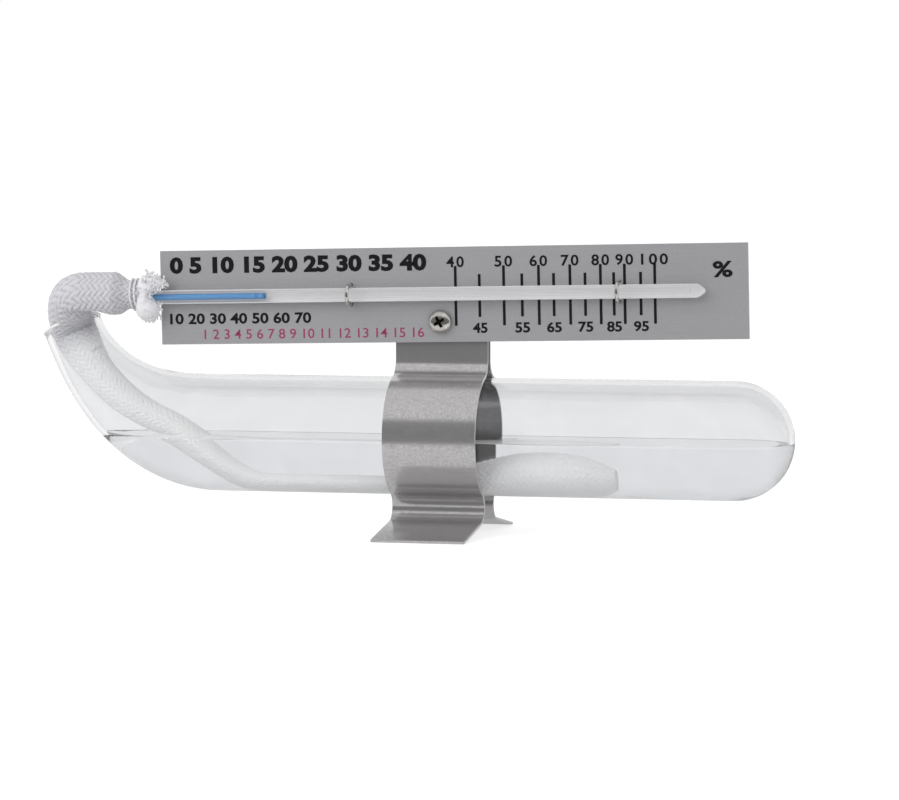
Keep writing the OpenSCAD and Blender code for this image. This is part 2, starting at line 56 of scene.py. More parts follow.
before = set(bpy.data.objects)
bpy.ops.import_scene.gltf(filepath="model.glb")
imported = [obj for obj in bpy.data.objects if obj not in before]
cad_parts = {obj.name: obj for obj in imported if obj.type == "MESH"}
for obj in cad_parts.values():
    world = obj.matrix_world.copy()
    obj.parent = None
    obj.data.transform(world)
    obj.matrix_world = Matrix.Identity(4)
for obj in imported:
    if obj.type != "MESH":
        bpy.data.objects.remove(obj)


class Body(Enum):
    """The bodies that move."""

    CLIP = "clip"
    PLATE = "plate"
    SPIRIT = "spirit_end"
    RESERVOIR = "reservoir"


class Slot(Enum):
    """The record's material slots."""

    PLATE = "printed_plate"
    STEM = "thermometer_glass"
    SPIRIT = "spirit"
    WIRE = "wire"
    COTTON = "cotton"
    STEEL = "spring_steel"
    NICKEL = "nickel_screw"
    GLASS = "reservoir_glass"
    WATER = "water"


@dataclass(frozen=True)
class Shot:
    """The camera: where the photograph was taken from, and its lens."""

    azimuth: float = 13.62
    elevation: float = 3.66
    distance: float = 880.3
    target: Three = (1.373, 0.0, 28.292)
    focal_px: float = 4169.5
    frame_px: int = 899
    sensor: float = 36.0

    def place(self) -> bpy.types.Object:
        """Makes the camera and sets it as the scene's.

        Returns:
            The camera object.
        """
        a, e = math.radians(self.azimuth), math.radians(self.elevation)
        back = Vector((math.sin(a) * math.cos(e), -math.cos(a) * math.cos(e), math.sin(e)))
        data = bpy.data.cameras.new("photo_camera")
        data.sensor_width = self.sensor
        data.lens = self.focal_px * self.sensor / self.frame_px
        data.clip_start, data.clip_end = 0.01, 20.0
        cam = bpy.data.objects.new("photo_camera", data)
        bpy.context.scene.collection.objects.link(cam)
        cam.rotation_mode = "QUATERNION"
        cam.location = (Vector(self.target) + back * self.distance) * MM
        cam.rotation_quaternion = (-back).to_track_quat("-Z", "Y")
        bpy.context.scene.camera = cam
        return cam


@dataclass(frozen=True)
class Datum:
    """Places that several sub-assemblies share."""

    axis_z: float = 20.643
    screw_z: float = 44.943
    tilt: float = 1.2
    left: float = -61.4
    front: float = -2.35
    stem_y: float = -3.9
    stem_z: float = 50.843

    def on_plate(self, points: np.ndarray) -> np.ndarray:
        """Turns points of the plate's level frame about the screw to where the plate rests.

        Args:
            points: Rows of x, y, z in the plate's own frame.

        Returns:
            The same rows in the part's frame.
        """
        p = np.asarray(points, float).reshape(-1, 3).copy()
        c, s = math.cos(math.radians(self.tilt)), math.sin(math.radians(self.tilt))
        x, z = p[:, 0].copy(), p[:, 2] - self.screw_z
        p[:, 0] = x * c - z * s
        p[:, 2] = self.screw_z + x * s + z * c
        return p


DATUM = Datum()


def ease(t: np.ndarray | float) -> np.ndarray | float:
    """Smooth step from 0 to 1.

    Args:
        t: The share of the way.

    Returns:
        The eased share.
    """
    t = np.clip(t, 0.0, 1.0)
    return t * t * (3 - 2 * t)


def mix(a: float, b: float, t: np.ndarray | float) -> np.ndarray | float:
    """A value t of the way from a to b."""
    return a + (b - a) * t


def unit(v: np.ndarray) -> np.ndarray:
    """Rows scaled to length 1."""
    v = np.asarray(v, float)
    return v / np.linalg.norm(v, axis=-1, keepdims=True)


def hermite(p: np.ndarray, q: np.ndarray, dp: np.ndarray, dq: np.ndarray, t: np.ndarray) -> np.ndarray:
    """Points of a cubic path.

    Args:
        p: First point.
        q: Last point.
        dp: Tangent at the first point.
        dq: Tangent at the last point.
        t: Shares of the way.

    Returns:
        One row for each share.
    """
    t = np.asarray(t, float)[:, None]
    a, b = 2 * t**3 - 3 * t**2 + 1, t**3 - 2 * t**2 + t
    return a * p + b * dp + (1 - a) * q + (t**3 - t**2) * dq


def smooth_line(knots: list[tuple[float, ...]], steps: int) -> np.ndarray:
    """A smooth line through knots.

    Args:
        knots: The points that it passes.
        steps: Steps from one knot to the next.

    Returns:
        Rows of points, the last knot included.
    """
    k = np.asarray(knots, float)
    k = np.vstack([2 * k[0] - k[1], k, 2 * k[-1] - k[-2]])
    t = np.linspace(0, 1, steps, endpoint=False)
    slope = (k[2:] - k[:-2]) / 2
    rows = [hermite(k[i], k[i + 1], slope[i - 1], slope[i], t) for i in range(1, len(k) - 2)]
    return np.vstack([*rows, k[-2:-1]])


def run_along(line: np.ndarray) -> np.ndarray:
    """Length of a line up to each of its points."""
    return np.concatenate([[0], np.cumsum(np.linalg.norm(np.diff(line, axis=0), axis=1))])


def link(obj: bpy.types.Object) -> bpy.types.Object:
    """Puts an object in the scene."""
    bpy.context.scene.collection.objects.link(obj)
    return obj


def mesh_object(
    name: str,
    points: np.ndarray,
    faces: list,
    mat: bpy.types.Material | None = None,
    edges: list | None = None,
) -> bpy.types.Object:
    """Makes a mesh object from points in millimetres.

    Args:
        name: The piece's name.
        points: Rows of x, y, z.
        faces: Tuples of point numbers.
        mat: The finish.
        edges: Pairs of point numbers, for a mesh of lines.

    Returns:
        The object, smooth shaded.
    """
    mesh = bpy.data.meshes.new(name)
    mesh.from_pydata((np.asarray(points, float).reshape(-1, 3) * MM).tolist(), edges or [], faces)
    if mat is not None:
        mesh.materials.append(mat)
    mesh.shade_smooth()
    return link(bpy.data.objects.new(name, mesh))


def store(obj: bpy.types.Object, name: str, values: np.ndarray | list) -> None:
    """Stores a number for each point of an object as a named attribute."""
    layer = obj.data.attributes.new(name, "FLOAT", "POINT")
    layer.data.foreach_set("value", np.asarray(values, np.float32))


def skin(rings: list[np.ndarray], caps: bool = True) -> tuple[np.ndarray, list]:
    """Points and faces of a surface over rings of equal count.

    Args:
        rings: The rings, one after the other.
        caps: Whether a fan closes each end.

    Returns:
        The points and the faces.
    """
    n, m = len(rings), len(rings[0])
    points = np.vstack(rings)
    j = np.arange(m)
    k = (j + 1) % m
    faces = []
    for i in range(n - 1):
        a, b = i * m, (i + 1) * m
        faces += np.stack([a + j, b + j, b + k, a + k], axis=1).tolist()
    if caps:
        points = np.vstack([points, rings[0].mean(0), rings[-1].mean(0)])
        faces += np.stack([np.full(m, n * m), j, k], axis=1).tolist()
        faces += np.stack([np.full(m, n * m + 1), (n - 1) * m + k, (n - 1) * m + j], axis=1).tolist()
    return points, faces


def face_out(obj: bpy.types.Object, inward: bool = False) -> bpy.types.Object:
    """Merges doubles and turns a closed shell's faces outward.

    Args:
        obj: The piece.
        inward: Whether the shell is a cavity, whose faces point into it.

    Returns:
        The piece.
    """
    bm = bmesh.new()
    bm.from_mesh(obj.data)
    bmesh.ops.remove_doubles(bm, verts=bm.verts, dist=2e-7)
    bmesh.ops.recalc_face_normals(bm, faces=bm.faces)
    if inward:
        bmesh.ops.reverse_faces(bm, faces=bm.faces)
    bm.to_mesh(obj.data)
    bm.free()
    return obj


def join(name: str, parts: list[bpy.types.Object]) -> bpy.types.Object:
    """Joins objects at the origin into one, with their materials kept.

    Args:
        name: The new piece's name.
        parts: The objects, which are removed.

    Returns:
        The joined piece.
    """
    bm = bmesh.new()
    mats: list[bpy.types.Material] = []
    for part in parts:
        start = len(bm.faces)
        bm.from_mesh(part.data)
        bm.faces.ensure_lookup_table()
        own = list(part.data.materials)
        for mat in own:
            if mat not in mats:
                mats.append(mat)
        for f in bm.faces[start:]:
            f.material_index = mats.index(own[f.material_index]) if own else 0
    mesh = bpy.data.meshes.new(name)
    bm.to_mesh(mesh)
    bm.free()
    for mat in mats:
        mesh.materials.append(mat)
    for part in parts:
        bpy.data.objects.remove(part)
    return link(bpy.data.objects.new(name, mesh))


def settled(obj: bpy.types.Object) -> bpy.types.Object:
    """Turns an object with modifiers into a plain mesh of the same name.

    Args:
        obj: The object.

    Returns:
        The object, without modifiers.
    """
    view = bpy.context.evaluated_depsgraph_get()
    view.update()
    mesh = bpy.data.meshes.new_from_object(obj.evaluated_get(view))
    obj.modifiers.clear()
    old = obj.data
    obj.data = mesh
    bpy.data.meshes.remove(old)
    obj.data.name = obj.name
    return obj


def soften(obj: bpy.types.Object, edge: float, segments: int, angle: float) -> None:
    """Adds a softened edge where an object's faces meet sharply.

    Args:
        obj: The object.
        edge: Width of the softened edge.
        segments: Steps across it.
        angle: The least angle between faces that is softened, in degrees.
    """
    soft = obj.modifiers.new("edge", "BEVEL")
    soft.width = edge * MM
    soft.segments = segments
    soft.limit_method = "ANGLE"
    soft.angle_limit = math.radians(angle)


def edged_copy(
    node: str, name: str, mat: bpy.types.Material, edge: float, segments: int = 2
) -> bpy.types.Object:
    """A merged copy of a node's mesh with softened edges.

    Args:
        node: The node of the frame.
        name: The piece's name.
        mat: The finish.
        edge: Width of the softened edge.
        segments: Steps across the softened edge.

    Returns:
        The piece, not yet on a body.
    """
    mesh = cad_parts[node].data.copy()
    mesh.materials.clear()
    mesh.materials.append(mat)
    obj = link(bpy.data.objects.new(name, mesh))
    bm = bmesh.new()
    bm.from_mesh(mesh)
    for f in bm.faces:
        f.material_index = 0
        f.smooth = True
    bmesh.ops.remove_doubles(bm, verts=bm.verts, dist=2e-6)
    bmesh.ops.dissolve_limit(bm, angle_limit=math.radians(0.4), verts=bm.verts, edges=bm.edges)
    bmesh.ops.recalc_face_normals(bm, faces=bm.faces)
    bm.to_mesh(mesh)
    bm.free()
    for layer in list(mesh.uv_layers):
        mesh.uv_layers.remove(layer)
    soften(obj, edge, segments, 32)
    even = obj.modifiers.new("normals", "WEIGHTED_NORMAL")
    even.keep_sharp = False
    return settled(obj)


def declared(obj: bpy.types.Object, nodes: tuple[str, ...]) -> bpy.types.Object:
    """Hides the nodes of the frame that a piece stands for, and logs its face count.

    Args:
        obj: The piece, already on its body.
        nodes: The nodes of the frame that it replaces.

    Returns:
        The piece.
    """
    if nodes:
        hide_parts(*nodes)
    LOG.info("%s: %d faces", obj.name, len(obj.data.polygons))
    return obj


def enlist(obj: bpy.types.Object, body: Body, slot: Slot, *nodes: str) -> bpy.types.Object:
    """Puts a piece on its body and hides the nodes of the frame that it stands for.

    Args:
        obj: The piece, in place.
        body: The body that it rides on.
        slot: The record's slot of its finish. Not used.
        nodes: The nodes of the frame that it replaces.

    Returns:
        The piece.
    """
    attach(obj, body.value)
    return declared(obj, nodes)


def enlist_between(
    obj: bpy.types.Object,
    bodies: tuple[Body, Body],
    ends: tuple[np.ndarray, np.ndarray],
    slot: Slot,
    *nodes: str,
) -> bpy.types.Object:
    """Lets a soft piece bend between two bodies.

    Args:
        obj: The piece, in place.
        bodies: The body at its start and the body at its end.
        ends: The points between which it turns from one to the other.
        slot: The record's slot of its finish. Not used.
        nodes: The nodes of the frame that it replaces.

    Returns:
        The piece.
    """
    start, end = (Vector(np.asarray(p, float) * MM) for p in ends)
    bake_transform(obj, bodies[0].value, bodies[1].value, start=start, end=end)
    return declared(obj, nodes)


class Nodes:
    """A node tree under construction."""

    def __init__(self, tree: bpy.types.NodeTree) -> None:
        """Takes the tree that the nodes go into."""
        self.tree = tree

    def node(self, kind: str, wires: dict | None = None, **settings: object) -> bpy.types.Node:
        """Adds a node.

        Args:
            kind: The node's type.
            wires: Values or sockets by input name or number.
            settings: The node's own settings.

        Returns:
            The node.
        """
        node = self.tree.nodes.new(kind)
        for key, value in settings.items():
            setattr(node, key, value)
        for key, value in (wires or {}).items():
            if isinstance(value, NodeSocket):
                self.tree.links.new(value, node.inputs[key])
            else:
                node.inputs[key].default_value = value
        return node

    def math(self, operation: str, *values: object, clamp: bool = False) -> NodeSocket:
        """Adds a math node.

        Args:
            operation: What it does.
            values: Numbers or sockets.
            clamp: Whether the result stays between 0 and 1.

        Returns:
            Its result.
        """
        wires = dict(enumerate(values))
        return self.node("ShaderNodeMath", wires, operation=operation, use_clamp=clamp).outputs[0]

    def vector(self, x: object = 0.0, y: object = 0.0, z: object = 0.0) -> NodeSocket:
        """Joins three numbers or sockets."""
        return self.node("ShaderNodeCombineXYZ", {"X": x, "Y": y, "Z": z}).outputs[0]

    def mapped(self, value: NodeSocket, smooth: bool = False, **ends: object) -> NodeSocket:
        """Moves a value from one range to another.

        Args:
            value: The value.
            smooth: Whether it starts and stops softly.
            ends: The ends of both ranges by input name, with _ for a space.

        Returns:
            The result, kept within its range.
        """
        wires = {"Value": value} | {key.replace("_", " "): end for key, end in ends.items()}
        kind = "SMOOTHSTEP" if smooth else "LINEAR"
        return self.node("ShaderNodeMapRange", wires, interpolation_type=kind).outputs[0]

    def rays(self, *kinds: str) -> NodeSocket:
        """Tells rays of some kinds from the rest.

        Args:
            kinds: Outputs of the light path.

        Returns:
            1 for rays of these kinds and 0 for the others.
        """
        path = self.node("ShaderNodeLightPath").outputs
        seen = path[kinds[0]]
        for kind in kinds[1:]:
            seen = self.math("MAXIMUM", seen, path[kind])
        return seen


class GeoTree(Nodes):
    """A Geometry Nodes tree with named inputs, ended by Realize Instances and Set Material."""

    def __init__(self, name: str) -> None:
        """Starts the tree.

        Args:
            name: The tree's name.
        """
        super().__init__(bpy.data.node_groups.new(name, "GeometryNodeTree"))
        for way in ("INPUT", "OUTPUT"):
            self.tree.interface.new_socket("Geometry", in_out=way, socket_type="NodeSocketGeometry")
        self.tree.interface.new_socket("Finish", in_out="INPUT", socket_type="NodeSocketMaterial")
        self.source = self.tree.nodes.new("NodeGroupInput")
        self.sink = self.tree.nodes.new("NodeGroupOutput")
        self.given = self.source.outputs["Geometry"]

    def size(self, name: str, value: float | int) -> NodeSocket:
        """Adds a named number, a whole one where its default is whole.

        Args:
            name: The input's name.
            value: Its default.

        Returns:
            The socket that gives it inside the tree.
        """
        kind = "NodeSocketInt" if isinstance(value, int) else "NodeSocketFloat"
        socket = self.tree.interface.new_socket(name, in_out="INPUT", socket_type=kind)
        socket.default_value = value
        return self.source.outputs[name]

    def attribute(self, name: str, kind: str = "FLOAT") -> NodeSocket:
        """Reads a named attribute of the geometry."""
        wires = {"Name": name}
        return self.node("GeometryNodeInputNamedAttribute", wires, data_type=kind).outputs["Attribute"]

    def sweep(self, line: NodeSocket, sides: object, radius: NodeSocket) -> NodeSocket:
        """Sweeps a closed round strand along a line.

        Args:
            line: The line.
            sides: Sides of the strand.
            radius: Its radius.

        Returns:
            The strand.
        """
        ring = self.node("GeometryNodeCurvePrimitiveCircle", {"Resolution": sides, "Radius": radius})
        wires = {"Curve": line, "Profile Curve": ring.outputs[0], "Fill Caps": True}
        return self.node("GeometryNodeCurveToMesh", wires).outputs[0]

    def shift(self, way: NodeSocket, amount: NodeSocket) -> NodeSocket:
        """Moves the geometry's points.

        Args:
            way: The direction at each point.
            amount: How far it goes at each point.

        Returns:
            The moved geometry.
        """
        offset = self.node("ShaderNodeVectorMath", {0: way, "Scale": amount}, operation="SCALE")
        wires = {"Geometry": self.given, "Offset": offset.outputs[0]}
        return self.node("GeometryNodeSetPosition", wires).outputs[0]

    def close(self, geometry: NodeSocket) -> None:
        """Ends the tree.

        Args:
            geometry: The finished geometry.
        """
        real = self.node("GeometryNodeRealizeInstances", {"Geometry": geometry})
        smooth = self.node("GeometryNodeSetShadeSmooth", {"Geometry": real.outputs[0]})
        wires = {"Geometry": smooth.outputs[0], "Material": self.source.outputs["Finish"]}
        self.tree.links.new(self.node("GeometryNodeSetMaterial", wires).outputs[0], self.sink.inputs[0])

    def run(self, obj: bpy.types.Object, values: dict) -> bpy.types.Object:
        """Shapes an object and leaves a plain mesh.

        Args:
            obj: The object that carries the start geometry.
            values: Values by input name.

        Returns:
            The same object with the result as its mesh.
        """
        mod = obj.modifiers.new("shape", "NODES")
        mod.node_group = self.tree
        items = [s for s in self.tree.interface.items_tree if s.item_type == "SOCKET" and s.in_out == "INPUT"]
        names = {s.name: s.identifier for s in items}
        for key, value in values.items():
            mod[names[key]] = value
        return settled(obj)


class Effects:
    """Shader node groups that several finishes share, each built once."""

    _made: dict[str, bpy.types.NodeTree] = {}

    @classmethod
    def _group(cls, name: str, inputs: dict, fill: Callable[[Nodes, object], dict]) -> bpy.types.NodeTree:
        """A group, built when it is first asked for.

        Args:
            name: The group's name.
            inputs: Defaults by input name: a number, three numbers, or None for a place.
            fill: Takes the group's nodes and inputs and gives the outputs by name.

        Returns:
            The group.
        """
        if name not in cls._made:
            tree = bpy.data.node_groups.new(name, "ShaderNodeTree")
            for key, value in inputs.items():
                kind = "NodeSocketFloat" if isinstance(value, float) else "NodeSocketVector"
                socket = tree.interface.new_socket(key, in_out="INPUT", socket_type=kind)
                if value is not None:
                    socket.default_value = value
            made = fill(Nodes(tree), tree.nodes.new("NodeGroupInput").outputs)
            for key in made:
                tree.interface.new_socket(key, in_out="OUTPUT", socket_type="NodeSocketFloat")
            sink = tree.nodes.new("NodeGroupOutput")
            for key, socket in made.items():
                tree.links.new(socket, sink.inputs[key])
            cls._made[name] = tree
        return cls._made[name]

    @classmethod
    def grain(cls) -> bpy.types.NodeTree:
        """Fine grain, drawn out into streaks where the stretch is uneven.

        Returns:
            The group: Vector, Stretch, Size (mm) and Contrast in, Value and Height out.
        """

        def fill(nodes: Nodes, given: object) -> dict:
            """Lays the group's nodes.

            Args:
                nodes: Where they go.
                given: The group's inputs.

            Returns:
                The outputs by name.
            """
            wires = {0: given["Vector"], 1: given["Stretch"]}
            drawn = nodes.node("ShaderNodeVectorMath", wires, operation="DIVIDE").outputs[0]
            wires = {"Vector": drawn, "Scale": nodes.math("DIVIDE", 1 / MM, given["Size"])}
            noise = nodes.node("ShaderNodeTexNoise", wires | {"Detail": 3.0, "Roughness": 0.6}).outputs[0]
            far = nodes.math("MULTIPLY", nodes.math("SUBTRACT", noise, 0.5), given["Contrast"])
            return {"Value": nodes.math("ADD", far, 0.5, clamp=True), "Height": noise}

        inputs = {"Vector": None, "Stretch": (1.0, 1.0, 1.0), "Size": 0.2, "Contrast": 1.0}
        return cls._group("fine_grain", inputs, fill)

    @classmethod
    def smudge(cls) -> bpy.types.NodeTree:
        """Broad soft patches: handling marks, dust and dried water.

        Returns:
            The group: Vector, Size (mm) and Cover in, Mask out, 0 clean to 1 marked.
        """

        def fill(nodes: Nodes, given: object) -> dict:
            """Lays the group's nodes.

            Args:
                nodes: Where they go.
                given: The group's inputs.

            Returns:
                The outputs by name.
            """
            wires = {"Vector": given["Vector"], "Scale": nodes.math("DIVIDE", 1 / MM, given["Size"])}
            broad = nodes.node("ShaderNodeTexNoise", wires | {"Detail": 4.0, "Distortion": 0.8}).outputs[0]
            high = nodes.math("SUBTRACT", 1.0, given["Cover"])
            low = nodes.math("SUBTRACT", high, 0.25)
            return {"Mask": nodes.mapped(broad, smooth=True, From_Min=low, From_Max=high)}

        return cls._group("smudge", {"Vector": None, "Size": 12.0, "Cover": 0.5}, fill)


class Shade(Nodes):
    """A material under construction: one Principled shader and what feeds it."""

    def __init__(self, name: str) -> None:
        """Starts the material.

        Args:
            name: The material's name.
        """
        self.mat = bpy.data.materials.new(name)
        self.mat.use_nodes = True
        super().__init__(self.mat.node_tree)
        self.tree.nodes.clear()
        out = self.node("ShaderNodeOutputMaterial")
        self.shader = self.node("ShaderNodeBsdfPrincipled")
        self.tree.links.new(self.shader.outputs["BSDF"], out.inputs["Surface"])
        self.place = self.node("ShaderNodeTexCoord").outputs["Object"]

    def grain(self, size: float, contrast: float = 1.0, stretch: Three = (1.0, 1.0, 1.0)) -> object:
        """Places the shared grain.

        Args:
            size: Its size in millimetres.
            contrast: How far it goes from its middle tone.
            stretch: How far it is drawn out each way.

        Returns:
            Its outputs, Value and Height.
        """
        wires = {"Vector": self.place, "Stretch": stretch, "Size": size, "Contrast": contrast}
        return self.node("ShaderNodeGroup", wires, node_tree=Effects.grain()).outputs

    def smudge(self, size: float, cover: float) -> NodeSocket:
        """Places the shared smudges of a size in millimetres, and gives their mask."""
        wires = {"Vector": self.place, "Size": size, "Cover": cover}
        return self.node("ShaderNodeGroup", wires, node_tree=Effects.smudge()).outputs["Mask"]

    def plain(self, **values: object) -> None:
        """Sets values on the shader's own sockets, with _ for a space in a name."""
        for key, value in values.items():
            self.shader.inputs[key.replace("_", " ")].default_value = value

    def feed(self, name: str, socket: NodeSocket) -> None:
        """Links a socket to an input of the shader."""
        self.tree.links.new(socket, self.shader.inputs[name])

    def between(self, share: NodeSocket, low: object, high: object) -> NodeSocket:
        """A number or colour between two, by a share.

        Args:
            share: The share, 0 to 1.
            low: The number, colour or socket at 0.
            high: The number, colour or socket at 1.

        Returns:
            The result.
        """
        if isinstance(low, (int, float)):
            return self.mapped(share, To_Min=low, To_Max=high)
        ends = [end if isinstance(end, NodeSocket) else (*end, 1.0) for end in (low, high)]
        return self.node("ShaderNodeMix", {0: share, 6: ends[0], 7: ends[1]}, data_type="RGBA").outputs[2]

    def mixed(self, share: float, low: NodeSocket, high: NodeSocket) -> NodeSocket:
        """Mixes two values by a fixed share."""
        return self.node("ShaderNodeMix", {0: share, 2: low, 3: high}).outputs[0]

    def let_light_through(self, left: float = 0.06) -> None:
        """Clears the surface for shadow and diffuse rays, so that light reaches what is inside."""
        self.feed("Alpha", self.between(self.rays("Is Shadow Ray", "Is Diffuse Ray"), 1.0, left))

    def bump(self, height: NodeSocket, strength: float, depth: float) -> None:
        """Feeds the shader's normal from a height.

        Args:
            height: The height, 0 to 1.
            strength: The effect's strength.
            depth: The depth of the relief in millimetres.
        """
        wires = {"Height": height, "Strength": strength, "Distance": depth * MM}
        self.feed("Normal", self.node("ShaderNodeBump", wires).outputs[0])


@dataclass(frozen=True)
class BrushedSteel:
    """Sprung stainless strip: grain along its width, dulled by handling."""

    name: str = "brushed_steel"
    bright: Three = (0.66, 0.645, 0.645)
    dull: Three = (0.48, 0.47, 0.475)
    smooth: float = 0.13
    rough: float = 0.27
    along: Three = (9.0, 1.0, 1.0)
    speckled: float = 0.62
    handled: float = 0.12
    metallic: float = 0.82

    def build(self) -> bpy.types.Material:
        """Makes the material.

        Returns:
            The finish.
        """
        s = Shade(self.name)
        streak = s.grain(0.2, 1.8, self.along)
        both = s.mixed(self.speckled, streak["Value"], s.grain(0.45, 3.0)["Value"])
        tone = s.math("SUBTRACT", both, s.math("MULTIPLY", s.smudge(9.0, 0.5), self.handled), clamp=True)
        s.feed("Base Color", s.between(tone, self.dull, self.bright))
        s.feed("Roughness", s.between(tone, self.rough, self.smooth))
        s.plain(Metallic=self.metallic)
        s.bump(streak["Height"], 0.25, 0.006)
        return s.mat


@dataclass(frozen=True)
class NickelPlate:
    """Nickel-plated small hardware."""

    name: str = "nickel"
    bright: Three = (0.80, 0.785, 0.75)
    dull: Three = (0.62, 0.60, 0.57)
    smooth: float = 0.12
    rough: float = 0.32

    def build(self) -> bpy.types.Material:
        """Makes the material.

        Returns:
            The finish.
        """
        s = Shade(self.name)
        fine = s.grain(0.25, 1.6)
        s.feed("Base Color", s.between(s.smudge(1.4, 0.45), self.bright, self.dull))
        s.feed("Roughness", s.between(fine["Value"], self.smooth, self.rough))
        s.plain(Metallic=1.0)
        s.bump(fine["Height"], 0.1, 0.01)
        return s.mat


@dataclass(frozen=True)
class SatinPlate:
    """Scale plate: satin grey lacquer on sheet metal, with a fine even grain."""

    name: str = "satin_plate"
    light: Three = (0.43, 0.43, 0.445)
    dark: Three = (0.335, 0.335, 0.35)
    drawn: Three = (30.0, 1.0, 1.0)
    lined: float = 0.4
    clean_rough: float = 0.42
    marked_rough: float = 0.50
    metallic: float = 0.35

    def build(self) -> bpy.types.Material:
        """Makes the material.

        Returns:
            The finish.
        """
        s = Shade(self.name)
        fine = s.grain(0.22, 2.4)
        tone = s.mixed(self.lined, fine["Value"], s.grain(0.3, 1.4, self.drawn)["Value"])
        s.feed("Base Color", s.between(tone, self.dark, self.light))
        s.feed("Roughness", s.between(s.smudge(22.0, 0.5), self.clean_rough, self.marked_rough))
        s.plain(Metallic=self.metallic)
        s.bump(fine["Height"], 0.12, 0.01)
        return s.mat


@dataclass(frozen=True)
class Ink:
    """Screen-printed ink on the plate."""

    name: str
    full: Three
    thin: Three

    def build(self) -> bpy.types.Material:
        """Makes the material.

        Returns:
            The finish.
        """
        s = Shade(self.name)
        fine = s.grain(0.12, 2.0)
        s.feed("Base Color", s.between(fine["Value"], self.full, self.thin))
        s.feed("Roughness", s.between(fine["Value"], 0.5, 0.7))
        s.plain(Specular_IOR_Level=0.2)
        s.bump(fine["Height"], 0.2, 0.008)
        return s.mat


@dataclass(frozen=True)
class BlownGlass:
    """Clear glass that was worked in the flame, with a faint waviness, a light film, and painted shade that
    darkens it towards its edges.
    """

    name: str
    tint: Three = (0.87, 0.87, 0.88)
    film: Three = (0.845, 0.85, 0.86)
    wave: float = 0.05
    wave_size: float = 7.0
    index: float = 1.46
    clear: float = 1.0
    # Tone of the painted shade at the edges, as a share of the film's tone.
    edge: float = 1.0
    edge_span: tuple[float, float] = (0.45, 0.8)
    film_rough: float = 0.035

    def build(self) -> bpy.types.Material:
        """Makes the material.

        Returns:
            The finish.
        """
        s = Shade(self.name)
        film = s.smudge(10.0, 0.45)
        facing = s.node("ShaderNodeLayerWeight", {"Blend": 0.5}).outputs["Facing"]
        # Painted shade: the colour darkens where the surface turns away from the view.
        grazing_shade = s.mapped(facing, From_Min=self.edge_span[0], From_Max=self.edge_span[1])
        face = s.between(film, self.tint, self.film)
        s.feed("Base Color", s.between(grazing_shade, face, tuple(self.edge * c for c in self.film)))
        s.feed("Roughness", s.between(film, 0.0, self.film_rough))
        s.plain(Metallic=0.0, IOR=self.index, Transmission_Weight=self.clear)
        s.bump(s.grain(self.wave_size, stretch=(3.0, 1.0, 1.0))["Height"], self.wave, 0.4)
        s.let_light_through()
        return s.mat


@dataclass(frozen=True)
class StillWater:
    """The water, with the faintest ripple."""

    name: str = "still_water"
    deep: Three = (0.965, 0.975, 0.985)
    clear: Three = (0.985, 0.99, 0.995)
    index: float = 1.333

    def build(self) -> bpy.types.Material:
        """Makes the material.

        Returns:
            The finish.
        """
        s = Shade(self.name)
        ripple = s.grain(6.0)
        s.feed("Base Color", s.between(ripple["Value"], self.deep, self.clear))
        s.plain(Metallic=0.0, Roughness=0.0, IOR=self.index, Transmission_Weight=1.0)
        s.bump(ripple["Height"], 0.02, 0.2)
        s.let_light_through()
        return s.mat


@dataclass(frozen=True)
class Enamel:
    """The milky band fused into the back of the stem, thin enough for the scale to show faintly; its faint
    glow is painted light.
    """

    name: str = "milky_enamel"
    dark: Three = (0.52, 0.52, 0.53)
    light: Three = (0.60, 0.60, 0.61)
    # Colours of the painted glow: emission that keeps the band pale where the spirit column shades it.
    dim: Three = (0.80, 0.80, 0.81)
    lit: Three = (0.95, 0.94, 0.94)
    thin: float = 0.86
    thick: float = 0.94

    def build(self) -> bpy.types.Material:
        """Makes the material.

        Returns:
            The finish.
        """
        s = Shade(self.name)
        lines = s.grain(0.3, 0.9, (60.0, 1.0, 1.0))["Value"]
        s.feed("Base Color", s.between(lines, self.dark, self.light))
        # Painted light: the band glows faintly, brighter along its lighter lines.
        s.feed("Emission Color", s.between(lines, self.dim, self.lit))
        s.feed("Alpha", s.between(lines, self.thin, self.thick))
        # Emission strength of the painted glow.
        s.plain(Roughness=0.6, Specular_IOR_Level=0.1, Emission_Strength=0.15)
        return s.mat


@dataclass(frozen=True)
class BlueSpirit:
    """Dyed spirit in the bore, a little paler where the dye is thin."""

    name: str = "blue_spirit"
    deep: Three = (0.075, 0.225, 0.465)
    pale: Three = (0.105, 0.275, 0.53)

    def build(self) -> bpy.types.Material:
        """Makes the material.

        Returns:
            The finish.
        """
        s = Shade(self.name)
        drift = s.grain(1.2, 1.6, (8.0, 1.0, 1.0))["Value"]
        s.feed("Base Color", s.between(drift, self.deep, self.pale))
        s.feed("Roughness", s.between(drift, 0.25, 0.35))
        return s.mat


